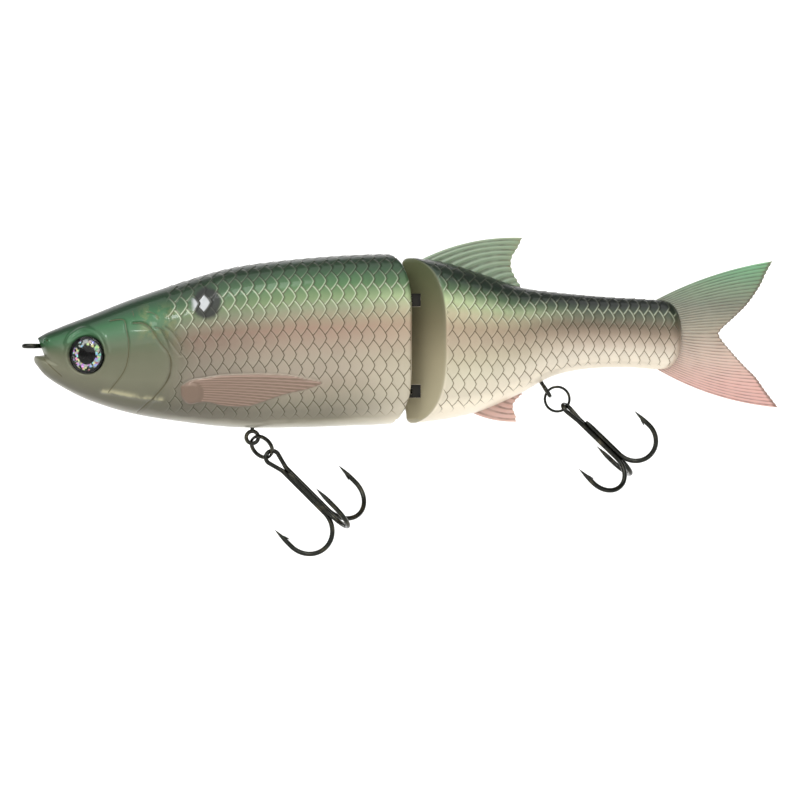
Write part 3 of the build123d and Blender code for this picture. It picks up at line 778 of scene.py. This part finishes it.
def build_tackle(metal):
    """Split rings and treble hooks."""
    front_ring = FRONT_HANGER + FRONT_CHAIN * RING_REACH
    rear_ring = REAR_HANGER + REAR_CHAIN * RING_REACH
    # Each piece: its CAD node, body and mesh, its middle, and the ways of its own X and Z.
    pieces = [
        ("front_split_ring", "front_ring", split_ring(), front_ring, FRONT_CHAIN, turned(FRONT_CHAIN, -45.0)),
        ("rear_split_ring", "rear_ring", split_ring(), rear_ring, REAR_CHAIN, (0, 1, 0)),
    ]
    # Each treble: its ring's middle, the way it hangs, its turn about that in degrees, and its size.
    hooks = (
        ("front", front_ring, FRONT_CHAIN, -11.0, 1.0),
        ("rear", rear_ring, REAR_HOOK_DIRECTION, -68.0, REAR_HOOK_SIZE),
    )
    for word, ring, direction, turn, size in hooks:
        throat = ring + direction * HOOK_REACH
        for part, body in (("double", double_hook(size)), ("third", third_hook(size))):
            place = (throat, turned(direction, turn), -direction)
            pieces.append((f"{word}_treble_{part}_hook", f"{word}_hook", body, *place))
    for node, body, mesh, origin, x_dir, z_dir in pieces:
        thing = mesh_object(f"{node}_wire", *placed(mesh, origin, x_dir, z_dir))
        thing.data.materials.append(metal)
        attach(thing, body)
        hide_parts(node)


# ---- soft fins ----


def soft_fin(name, root, tips, bows, rays, rib_depth, thickness, node, material):
    """Ribbed soft fin in the middle plane: rays run from the root line to the tip line, bowed a little."""
    across, along = rays * 12 + 1, 46
    notch = 0.22  # how far the tip is cut back between the rays
    t = np.linspace(0, 1, across)
    root_line = resampled(root, t)
    tip_line = resampled(tips, t)
    r = np.linspace(0, 1, along)
    straight = root_line[:, None, :] + (tip_line - root_line)[:, None, :] * r[None, :, None]
    direction = tip_line - root_line
    square = np.stack([-direction[:, 1], direction[:, 0]], axis=-1)
    square /= np.maximum(np.linalg.norm(square, axis=1, keepdims=True), 1e-9)
    bow = bows[0] + (bows[1] - bows[0]) * t
    flat = straight + square[:, None, :] * (bow[:, None] * 4 * r * (1 - r))[..., None]
    ridge = 0.5 + 0.5 * np.cos(2 * math.pi * rays * t)
    split = notch * smoothstep(0.8, 1.0, r)[None, :] * (1 - ridge)[:, None]
    length = np.maximum(np.linalg.norm(direction, axis=1, keepdims=True), 1e-9)
    flat = flat - (direction / length)[:, None, :] * split[..., None]
    edge = np.minimum(np.minimum(t, 1 - t)[:, None] * across / 5.0, 1.0)
    edge = edge * np.minimum((1 - r)[None, :] * along / 3.0 + 0.12, 1.0)
    half = thickness / 2 * (0.3 + 0.7 * (1 - r)[None, :] ** 0.8) * np.sqrt(np.clip(edge, 0.02, 1))
    half = half * (1 - rib_depth * (1 - ridge[:, None] ** 1.5))
    near = np.stack([flat[..., 0], -half, flat[..., 1]], axis=-1)
    far = np.stack([flat[..., 0], half, flat[..., 1]], axis=-1)
    points = np.concatenate([near.reshape(-1, 3), far.reshape(-1, 3)])
    count = across * along
    faces = grid_faces(across, along, True)
    faces += [[i + count for i in face] for face in grid_faces(across, along, False)]
    loop = grid_border(across, along)
    for a, b in zip(loop, loop[1:] + loop[:1]):
        faces.append([int(b), int(a), int(a) + count, int(b) + count])
    fin = mesh_object(name, points, faces)
    tipward = np.broadcast_to(r[None, :], (across, along)).ravel()
    ribs = np.broadcast_to(ridge[:, None], (across, along)).ravel()
    add_attributes(fin, ray=np.tile(ribs, 2), tipward=np.tile(tipward, 2))
    fin.data.materials.append(material)
    make_outward(fin)
    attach(fin, "rear_section")
    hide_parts(node)


def resampled(points, t):
    line = smooth_line(points, 10)
    length = np.concatenate([[0], np.cumsum(np.linalg.norm(np.diff(line, axis=0), axis=1))])
    wanted = t * length[-1]
    return np.stack([np.interp(wanted, length, line[:, k]) for k in (0, 1)], axis=-1)


def build_fins(material):
    soft_fin(
        "dorsal_fin_soft",
        [(90.4, 19.2), (97.0, 18.3), (104.0, 16.2), (112.0, 13.4), (116.6, 12.0)],
        [(117.4, 25.9), (116.3, 23.6), (114.9, 21.2), (114.8, 18.6), (115.9, 16.2), (117.4, 13.7)],
        bows=(2.0, 0.2), rays=10, rib_depth=0.3, thickness=1.15, node="dorsal_fin", material=material,
    )
    soft_fin(
        "ventral_fin_soft",
        [(103.4, -15.0), (108.0, -13.4), (113.0, -11.2), (116.6, -9.6)],
        [(115.9, -18.1), (115.8, -16.6), (115.2, -15.0), (115.5, -13.4), (117.3, -11.6)],
        bows=(-0.9, 0.0), rays=6, rib_depth=0.24, thickness=1.1, node="ventral_fin", material=material,
    )
    soft_fin(
        "tail_fin_soft",
        [(146.6, 9.6), (150.4, 6.4), (151.6, 3.0), (150.4, -0.6), (147.2, -4.2)],
        [
            (177.2, 20.3), (175.6, 17.4), (174.2, 14.4), (171.4, 10.3), (168.2, 7.0), (164.9, 3.9),
            (164.6, 2.2), (167.6, -1.6), (170.6, -4.9), (173.2, -7.5), (175.3, -10.5), (178.5, -14.7),
        ],
        bows=(1.5, -2.0), rays=40, rib_depth=0.13, thickness=1.35, node="tail_fin", material=material,
    )


# ---- eyes ----


def build_eyes(lens_material, foil_material):
    for side, word in ((-1, "left"), (1, "right")):
        axis = np.array([EYE_AXIS[0], side * EYE_AXIS[1], 0])
        centre = np.array([EYE_CENTRE[0], side * EYE_CENTRE[1], EYE_CENTRE[2]])
        radius, rise, floor = EYE_RADIUS, 1.0, -EYE_SOCKET_DEPTH + 0.1
        ball = (radius**2 + rise**2) / (2 * rise)
        lean = np.linspace(0.0, math.asin(radius / ball), 18)[::-1]
        profile = [(0.02, floor), (radius - 0.05, floor)]
        profile += [(ball * math.sin(a), rise - ball + ball * math.cos(a)) for a in lean]
        profile[-1] = (0.02, rise)
        turns = np.linspace(0, 2 * math.pi, 72, endpoint=False)
        rings = np.array([[(r * math.cos(a), r * math.sin(a), h) for a in turns] for r, h in profile])
        lens = mesh_object(f"eye_lens_{word}_dome", *placed(capped(rings), centre, (0, 0, 1), axis))
        make_outward(lens)
        lens.data.materials.append(lens_material)
        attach(lens, "front_section")
        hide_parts(f"eye_lens_{word}")
        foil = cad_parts[f"eye_foil_{word}"]
        foil.data.materials.clear()
        foil.data.materials.append(foil_material[side])


# ---- materials ----


def linear(red, green, blue):
    """A colour given in 0-255 display values, as linear light."""
    values = []
    for v in (red, green, blue):
        c = v / 255
        values.append(c / 12.92 if c <= 0.04045 else ((c + 0.055) / 1.055) ** 2.4)
    return (*values, 1.0)


def as_colour(value):
    """A socket as it is, a float as a grey in linear light, or three 0-255 display values."""
    if isinstance(value, float):
        return (value, value, value, 1.0)
    if isinstance(value, tuple):
        return linear(*value)
    return value


def adds_node(operation):
    """What an arithmetic sign does between a Value and a number or another Value."""
    return lambda a, b: a.nodes.maths(operation, a, b)


class Value:
    """One number in a material's node tree. Arithmetic on it adds maths nodes."""

    def __init__(self, nodes, socket):
        self.nodes = nodes
        self.socket = socket

    __add__ = adds_node("ADD")
    __sub__ = adds_node("SUBTRACT")
    __mul__ = adds_node("MULTIPLY")
    __truediv__ = adds_node("DIVIDE")
    __pow__ = adds_node("POWER")
    __lt__ = adds_node("LESS_THAN")
    __gt__ = adds_node("GREATER_THAN")

    def __rsub__(self, other):
        return self.nodes.maths("SUBTRACT", other, self)

    def __abs__(self):
        return self.nodes.maths("ABSOLUTE", self)


class Nodes:
    """A material's node tree, with short ways to add to it."""

    def __init__(self, name):
        self.material = bpy.data.materials.new(name)
        self.material.use_nodes = True
        self.tree = self.material.node_tree
        self.shader = self.tree.nodes["Principled BSDF"]

    def add(self, kind, **settings):
        node = self.tree.nodes.new(kind)
        for key, value in settings.items():
            setattr(node, key, value)
        return node

    def put(self, socket, value):
        if isinstance(value, Value):
            value = value.socket
        if isinstance(value, bpy.types.NodeSocket):
            self.tree.links.new(value, socket)
        else:
            socket.default_value = value

    def attribute(self, name):
        return Value(self, self.add("ShaderNodeAttribute", attribute_name=name).outputs["Fac"])

    def maths(self, operation, a, b=0.0, clamp=False):
        node = self.add("ShaderNodeMath", operation=operation, use_clamp=clamp)
        self.put(node.inputs[0], a)
        self.put(node.inputs[1], b)
        return Value(self, node.outputs[0])

    def vector(self, operation, a, b=(0, 0, 0), output=0):
        node = self.add("ShaderNodeVectorMath", operation=operation)
        self.put(node.inputs[0], a)
        self.put(node.inputs[1], b)
        return node.outputs[output]

    def mix(self, factor, a, b, blend="MIX"):
        node = self.add("ShaderNodeMix", data_type="RGBA", blend_type=blend)
        self.put(node.inputs[0], factor)
        self.put(node.inputs[6], as_colour(a))
        self.put(node.inputs[7], as_colour(b))
        return node.outputs[2]

    def ramp(self, factor, stops):
        """Colour along stops, which are (position, colour) from the lowest position to the highest."""
        node = self.add("ShaderNodeValToRGB")
        elements = node.color_ramp.elements
        for element, (position, colour) in zip(elements, (stops[0], stops[-1])):
            element.position = position
            element.color = as_colour(colour)
        for position, colour in stops[1:-1]:
            elements.new(position).color = as_colour(colour)
        self.put(node.inputs[0], factor)
        return node.outputs[0]

    def between(self, value, low, high, curve="SMOOTHSTEP"):
        """0 where value is at low, rising to 1 at high."""
        node = self.add("ShaderNodeMapRange", interpolation_type=curve)
        self.put(node.inputs[0], value)
        node.inputs[1].default_value = low
        node.inputs[2].default_value = high
        return Value(self, node.outputs[0])

    def fill(self, node, **values):
        """Sets or links a node's inputs by name."""
        for key, value in values.items():
            self.put(node.inputs[key.replace("_", " ")], value)
        return node.outputs[0]

    def set(self, **values):
        self.fill(self.shader, **values)

    def place(self):
        """The place on the object in millimetres: as one vector, and as its x, y and z."""
        node = self.add("ShaderNodeTexCoord")
        scale = self.add("ShaderNodeVectorMath", operation="SCALE")
        place = self.fill(scale, Vector=node.outputs["Object"], Scale=1 / MM)
        split = self.add("ShaderNodeSeparateXYZ")
        self.fill(split, Vector=place)
        return place, [Value(self, socket) for socket in split.outputs]

    def noise(self, vector, scale, detail=3.0, roughness=0.55):
        node = self.add("ShaderNodeTexNoise")
        return Value(self, self.fill(node, Vector=vector, Scale=scale, Detail=detail, Roughness=roughness))

    def bump(self, height, strength, distance):
        node = self.add("ShaderNodeBump")
        self.set(Normal=self.fill(node, Strength=strength, Distance=distance, Height=height))


BRIGHT_SCALES_PLACE, BRIGHT_SCALES_ROW = 14.0, 3.0  # the two silver scales in the dark spot
# Paint from belly (0) to back (1), as (share of the height, colour).
HEAD_PAINT = [
    (0.0, (132, 128, 114)), (0.06, (92, 90, 75)), (0.3, (108, 108, 88)),
    (0.5, (98, 101, 80)), (0.62, (82, 96, 72)), (0.72, (58, 92, 62)),
    (0.82, (34, 84, 47)), (0.92, (16, 48, 24)), (1.0, (8, 26, 12)),
]
FLANK_PAINT = [
    (0.0, (196, 190, 172)), (0.02, (180, 174, 155)), (0.05, (130, 124, 106)),
    (0.1, (130, 124, 108)), (0.18, (148, 140, 122)), (0.25, (160, 148, 130)),
    (0.31, (168, 156, 139)), (0.4, (168, 156, 138)), (0.49, (166, 148, 130)),
    (0.58, (160, 134, 116)), (0.65, (150, 140, 116)), (0.7, (134, 140, 110)),
    (0.75, (114, 134, 92)), (0.83, (64, 100, 58)), (0.9, (40, 76, 42)),
    (0.95, (28, 54, 30)), (1.0, (14, 28, 16)),
]
REAR_PAINT = [
    (0.0, (244, 232, 212)), (0.08, (242, 231, 210)), (0.14, (214, 204, 184)),
    (0.27, (200, 193, 170)), (0.38, (186, 177, 152)), (0.5, (174, 158, 136)),
    (0.585, (168, 150, 126)), (0.68, (176, 168, 138)), (0.755, (158, 172, 130)),
    (0.83, (68, 92, 58)), (0.9, (22, 40, 24)), (1.0, (8, 16, 10)),
]
TAIL_PAINT = [
    (0.0, (242, 230, 210)), (0.19, (216, 205, 188)), (0.36, (180, 164, 147)),
    (0.5, (138, 122, 105)), (0.6, (104, 92, 76)), (0.7, (78, 78, 60)),
    (0.79, (48, 58, 42)), (0.88, (14, 22, 15)), (1.0, (6, 12, 7)),
]
# From the bottom of the tail fin (0) to its top (1), and of the two small fins.
TAIL_FIN_COLOURS = [
    (0.0, (204, 160, 152)), (0.19, (210, 170, 160)), (0.35, (200, 176, 162)), (0.54, (158, 150, 132)),
    (0.7, (120, 124, 106)), (0.8, (118, 138, 110)), (0.89, (108, 148, 112)), (1.0, (110, 172, 124)),
]
SMALL_FIN_COLOURS = [
    (0.0, (210, 176, 164)), (0.4, (200, 164, 152)), (0.6, (128, 146, 120)), (1.0, (128, 148, 120)),
]
# Bare moulding of the joint's flats, from the foot (0) to the top (1).
MOULDING = [(0.0, (160, 152, 126)), (0.3, (146, 138, 112)), (0.65, (112, 106, 82)), (1.0, (78, 84, 58))]


def scale_pattern(n):
    """The same scales as scale_relief, from the skin's own coordinates.

    Gives how near a point is to its scale's edge, the scale's own random number, its place along the
    fish and its row.
    """
    u, r = n.attribute("scale_u"), n.attribute("scale_r")
    middle = n.maths("ROUND", r)
    best, found = None, []
    for step in (-1, 0, 1):
        row = middle + step
        shift = n.maths("PINGPONG", row, 1.0) * 0.5
        across = abs((r - row) / SCALE_HEIGHT)
        bent = across**SCALE_POWER
        half = n.maths("MAXIMUM", 1.0 - bent, 0.0) ** (1 / SCALE_POWER) * SCALE_LENGTH
        centre = n.maths("CEIL", u - half - shift) + shift
        off = u - centre
        outside = n.maths("MAXIMUM", off + half < 0.0, across > 1.0)
        centre = centre + outside * NO_SCALE
        along = abs(off / SCALE_LENGTH) ** SCALE_POWER
        reach = (along + bent) ** (1 / SCALE_POWER)
        best = centre if best is None else n.maths("MINIMUM", best, centre)
        found.append((row, centre, reach))
    edge, in_row = 0.0, 0.0
    for row, centre, reach in found:
        chosen = centre - best < 0.1
        edge = chosen * reach + edge
        in_row = chosen * row + in_row
    noise = n.add("ShaderNodeTexWhiteNoise", noise_dimensions="1D")
    n.fill(noise, W=in_row * 17.0 + best)
    return edge, Value(n, noise.outputs["Value"]), best, in_row


def shell_material(name, slotted):
    """Airbrushed pearl paint on moulded scales, under a gloss coat. slotted adds painted shade inside the
    hinge slots.
    """
    n = Nodes(name)
    place, (x, _, z) = n.place()
    girth = n.attribute("girth") + (n.noise(place, 0.12, 2.0) - 0.5) * 0.06
    # The front of the flank is the darker.
    shadow = n.ramp(n.between(x, 30.0, 90.0, "LINEAR"), [(0.0, 0.48), (0.27, 0.6), (0.5, 0.82), (1.0, 1.0)])
    flank = n.mix(1.0, n.ramp(girth, FLANK_PAINT), shadow, "MULTIPLY")
    colour = n.mix(n.between(x, 70.0, 106.0), flank, n.ramp(girth, REAR_PAINT))
    colour = n.mix(n.between(x, 102.0, 136.0), colour, n.ramp(girth, TAIL_PAINT))
    head_edge = abs(z + 3.0) * 0.25 + x
    colour = n.mix(n.between(head_edge, 31.0, 42.0), n.ramp(girth, HEAD_PAINT), colour)
    # Each scale has a tint of its own and a thin dark edge, with a painted highlight just inside the edge,
    # strongest on the upper flank where the light catches it.
    covered = n.attribute("covered")
    edge, own, scale_place, scale_row = scale_pattern(n)
    tint = n.ramp(own * 0.12 + 0.93, [(0.0, 0.0), (1.0, 1.0)])
    colour = n.mix(covered, colour, n.mix(1.0, colour, tint, "MULTIPLY"))
    upper = n.between(abs(girth - 0.76), 0.16, 0.04)
    edge_highlight = n.between(edge, 0.72, 0.86) * covered * (upper * 0.3 + 0.05)
    colour = n.mix(edge_highlight, colour, (220, 228, 200))
    line = n.between(edge, 0.87, 0.94) * covered
    colour = n.mix(line * 0.85, colour, n.mix(1.0, colour, (140, 132, 112), "MULTIPLY"))
    # The jaw's ridge has a painted highlight, broken up by noise, and gold dust lies behind the gill cover.
    ridge_highlight = n.attribute("ridge") * n.between(n.noise(place, 0.28, 2.0), 0.4, 0.62)
    colour = n.mix(ridge_highlight * 0.55, colour, (196, 190, 152))
    gold = n.between(n.noise(place, 0.45, 4.0), 0.46, 0.62)
    gold = gold * n.between(x, 25.0, 28.0) * n.between(x, 37.0, 34.0)
    gold = gold * n.between(z, -1.0, 2.0) * n.between(z, 11.0, 7.0)
    colour = n.mix(gold * 0.3, colour, (122, 116, 70))
    # Painted shade darkens the grooves of the head and the nostril's pit.
    shade = n.attribute("shade")
    colour = n.mix(n.between(shade, 0.35, 0.95) * 0.75, colour, (72, 62, 28))
    # The moulded fin is dusted pink, with paler rays.
    fin_colour = n.mix(n.between(n.attribute("ray"), 0.3, 0.9), (118, 98, 84), (152, 126, 112))
    colour = n.mix(n.attribute("fin") * 0.9, colour, fin_colour)
    # Dark spot behind the gill cover.
    near_place = abs(scale_place - BRIGHT_SCALES_PLACE) < 0.6
    near_row = abs(scale_row - BRIGHT_SCALES_ROW) < 0.5
    bright_scale = near_place * near_row * n.between(edge, 0.8, 0.62)
    spot_colour = n.mix(bright_scale, (4, 4, 4), (158, 160, 162))
    cloud = n.attribute("spot") + (n.noise(place, 0.5, 3.0) - 0.5) * 0.5
    colour = n.mix(n.between(cloud, 0.1, 0.75) * 0.93, colour, spot_colour)
    # The joint's flats are bare olive moulding.
    flat = n.attribute("flat")
    colour = n.mix(n.between(flat, 0.15, 0.6), colour, n.ramp(n.between(z, -18.0, 21.0), MOULDING))
    if slotted:
        # Painted shade darkens the inside of the hinge slots and pockets.
        upper_eye, lower_eye = HINGE_EYE_Z
        middle, spread = (upper_eye + lower_eye) / 2, (upper_eye - lower_eye) / 2
        slot_shade = abs(abs(z - middle) - spread) < HINGE_POCKET_HEIGHT / 2 + 0.01
        slot_shade = slot_shade * (x < HINGE_POCKET_BACK + 0.01)
        colour = n.mix(slot_shade, colour, (44, 40, 27))
    pearl = n.maths("SUBTRACT", 1.0, n.maths("MAXIMUM", flat, shade), clamp=True)
    flakes = n.noise(place, 9.0, 2.0)
    n.set(Base_Color=colour, Metallic=pearl * 0.28, Roughness=flakes * 0.16 + 0.27)
    n.set(Specular_IOR_Level=0.28, Coat_Weight=0.32, Coat_Roughness=0.06, Coat_IOR=1.45)
    step = (1.0 - n.between(edge, 0.88, 1.0)) * covered
    n.bump(step + n.noise(place, 3.0, 4.0) * 0.1, 0.6, 0.00012)
    return n.material


def fin_material():
    """Translucent soft plastic: green above, grey-beige in the middle, pink below, with paler ribs."""
    n = Nodes("soft_fin_plastic")
    place, (x, _, z) = n.place()
    tail = n.ramp(n.between(n.noise(place, 0.3) * 2.0 + z, -15.0, 22.0, "LINEAR"), TAIL_FIN_COLOURS)
    small = n.ramp(n.between(z, -16.0, 16.0, "LINEAR"), SMALL_FIN_COLOURS)
    colour = n.mix(n.between(x, 125.0, 140.0), small, tail)
    wander = n.between(n.noise(place, 0.35, 2.0), 0.3, 0.7)
    groove = n.between(n.attribute("ray"), 0.5, 0.05) * (wander * 0.35 + 0.3)
    colour = n.mix(groove, colour, n.mix(1.0, colour, (128, 122, 106), "MULTIPLY"))
    # The tail's edge is a thin dark line.
    rim = n.between(n.attribute("tipward"), 0.96, 0.985) * n.between(x, 130.0, 140.0)
    colour = n.mix(rim * 0.6, colour, (74, 70, 62))
    n.set(Base_Color=colour, Roughness=n.noise(place, 2.0) * 0.14 + 0.34)
    n.set(Subsurface_Weight=0.25, Subsurface_Radius=(1.0, 0.6, 0.4), Subsurface_Scale=0.0015)
    n.set(Transmission_Weight=0.12, Coat_Weight=0.25, Coat_Roughness=0.2)
    n.bump(n.noise(place, 1.6, 4.0), 0.12, 0.0001)
    return n.material


def nickel_material():
    """Black nickel plating: dark bright metal with warm scuffs in patches."""
    n = Nodes("black_nickel_wire")
    place, _ = n.place()
    scuff = n.between(n.noise(place, 0.4, 4.0, 0.6), 0.45, 0.8)
    n.set(Base_Color=n.mix(scuff, (46, 47, 44), (84, 80, 66)), Metallic=1.0, Roughness=scuff * 0.12 + 0.17)
    n.bump(n.noise(place, 6.0, 3.0), 0.05, 0.00005)
    return n.material


def pin_material():
    n = Nodes("stainless_wire")
    place, _ = n.place()
    streak = n.noise(place, 2.5, 4.0)
    n.set(Base_Color=n.mix(streak, (150, 150, 148), (186, 184, 178)), Metallic=1.0)
    n.set(Roughness=streak * 0.15 + 0.22)
    return n.material


def lead_material():
    n = Nodes("cast_lead")
    place, _ = n.place()
    mottle = n.noise(place, 0.5, 5.0)
    n.set(Base_Color=n.mix(mottle, (92, 94, 98), (132, 134, 138)), Metallic=0.9, Roughness=mottle * 0.2 + 0.5)
    n.bump(mottle, 0.3, 0.0003)
    return n.material


def lens_material():
    n = Nodes("clear_epoxy")
    place, _ = n.place()
    n.set(Base_Color=(1, 1, 1, 1), Transmission_Weight=1.0, IOR=1.33, Specular_IOR_Level=0.4)
    n.set(Roughness=n.noise(place, 0.8) * 0.01)
    return n.material


def foil_material(side):
    """Holographic foil round a black pupil, with a black rim."""
    n = Nodes(f"eye_foil_{'left' if side < 0 else 'right'}")
    place, _ = n.place()
    # Distance from the eye's axis.
    offset = n.vector("SUBTRACT", place, (EYE_CENTRE[0], side * EYE_CENTRE[1], EYE_CENTRE[2]))
    out = Value(n, n.vector("DOT_PRODUCT", offset, (EYE_AXIS[0], side * EYE_AXIS[1], 0), "Value"))
    length = Value(n, n.vector("LENGTH", offset, output="Value"))
    radius = n.maths("SQRT", n.maths("MAXIMUM", length * length - out * out, 0.0))
    cells = n.add("ShaderNodeTexVoronoi")
    n.fill(cells, Vector=place, Scale=2.0)
    split = n.add("ShaderNodeSeparateColor")
    n.fill(split, Color=cells.outputs["Color"])
    hue, kind, gloss = (Value(n, socket) for socket in split.outputs)
    rainbow = n.add("ShaderNodeCombineColor", mode="HSV")
    for socket, value in zip(rainbow.inputs, (hue, 0.6, 0.78)):
        n.put(socket, value)
    sparkle = n.mix(n.between(kind, 0.55, 0.65), (172, 178, 174), rainbow.outputs[0])
    silver = n.mix(n.between(kind, 0.26, 0.34), (36, 46, 40), sparkle)
    ring = n.mix(n.between(radius, 3.45, 3.65), silver, (6, 8, 6))
    outside_pupil = n.between(radius, 2.15, 2.23)
    n.set(Base_Color=n.mix(outside_pupil, (0, 0, 0), ring))
    n.set(Metallic=outside_pupil * n.between(radius, 3.65, 3.45) * 0.5)
    n.set(Roughness=gloss * 0.3 + 0.2, Specular_IOR_Level=0.05)
    return n.material


def cad_materials(wire):
    """Better materials for the CAD nodes that stay."""
    pin, lead = pin_material(), lead_material()
    for names, material in (
        (("line_tie", "front_hook_hanger", "rear_hook_hanger", "hinge_eye_upper", "hinge_eye_lower"), wire),
        (("hinge_pin",), pin),
        (("front_ballast", "middle_ballast", "rear_ballast"), lead),
    ):
        for name in names:
            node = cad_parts[name]
            node.data.materials.clear()
            node.data.materials.append(material)


# ---- stage ----

FLOOR_DROP = 75.0  # from the lowest point of the CAD box to the floor
FLOOR_FRONT, FLOOR_BACK, FLOOR_BEND = -4000.0, 1600.0, 600.0
WALL_HEIGHT, FLOOR_HALF_WIDTH = 2500.0, 4000.0
VIEW_CENTRE_X, VIEW_CENTRE_Z, VIEW_WIDTH = 88.1, -12.9, 191.2
LENS_LENGTH, SENSOR_WIDTH = 200.0, 36.0
# Each sun lamp: name, direction towards it, angle across it in degrees, strength.
LAMPS = (
    ("key", (-0.25, -0.62, 0.75), 85.0, 2.45),
    ("fill", (0.35, -0.9, -0.1), 80.0, 0.5),
    ("glint", (-0.3, -0.75, 0.8), 14.0, 0.3),
    ("spark", (-0.45, -0.78, 0.5), 6.0, 0.22),
)


def build_stage():
    """A pale floor that sweeps up into a back wall, soft light from above in front, and an even sky."""
    turns = np.linspace(0, math.pi / 2, 24)
    bend_start = FLOOR_BACK - FLOOR_BEND
    bend = [(bend_start + FLOOR_BEND * math.sin(a), FLOOR_BEND - FLOOR_BEND * math.cos(a)) for a in turns]
    profile = [(FLOOR_FRONT, 0.0), *bend, (FLOOR_BACK, WALL_HEIGHT)]
    floor_z = CAD_BOX[0].z / MM - FLOOR_DROP
    points = [(x, y, z + floor_z) for y, z in profile for x in (-FLOOR_HALF_WIDTH, FLOOR_HALF_WIDTH)]
    faces = [(2 * i, 2 * i + 1, 2 * i + 3, 2 * i + 2) for i in range(len(profile) - 1)]
    floor = mesh_object("floor", points, faces)
    n = Nodes("pale_floor")
    place, _ = n.place()
    n.set(Base_Color=n.mix(n.noise(place, 0.01), (244, 244, 243), (248, 248, 247)), Roughness=0.9)
    floor.data.materials.append(n.material)

    for name, direction, spread, strength in LAMPS:
        lamp = bpy.data.lights.new(name, "SUN")
        lamp.energy = strength
        lamp.angle = math.radians(spread)
        holder = bpy.data.objects.new(name, lamp)
        holder.rotation_euler = (-Vector(direction)).to_track_quat("-Z", "Y").to_euler()
        bpy.context.scene.collection.objects.link(holder)

    world = bpy.data.worlds.new("studio")
    bpy.context.scene.world = world
    world.use_nodes = True
    sky = world.node_tree.nodes["Background"]
    sky.inputs["Color"].default_value = (1, 1, 1, 1)
    sky.inputs["Strength"].default_value = 0.4
    bpy.context.scene.view_settings.view_transform = "Standard"


def build_camera():
    """Level, square to the fish's left side, from far off."""
    camera = bpy.data.cameras.new("camera")
    camera.lens = LENS_LENGTH
    camera.sensor_width = SENSOR_WIDTH
    camera.clip_end = 20.0
    holder = bpy.data.objects.new("camera", camera)
    distance = VIEW_WIDTH * LENS_LENGTH / SENSOR_WIDTH
    holder.location = Vector((VIEW_CENTRE_X, -distance, VIEW_CENTRE_Z)) * MM
    holder.rotation_euler = (math.pi / 2, 0, 0)
    bpy.context.scene.collection.objects.link(holder)
    bpy.context.scene.camera = holder


build_camera()
build_stage()
metal = nickel_material()
front_paint, rear_paint = shell_material("front_scales", False), shell_material("rear_scales", True)
for shells, paint in ((build_front_shells(), front_paint), (build_rear_shells(), rear_paint)):
    for shell in shells:
        shell.data.materials.append(paint)
build_eyes(lens_material(), {side: foil_material(side) for side in (-1, 1)})
build_fins(fin_material())
build_tackle(metal)
cad_materials(metal)
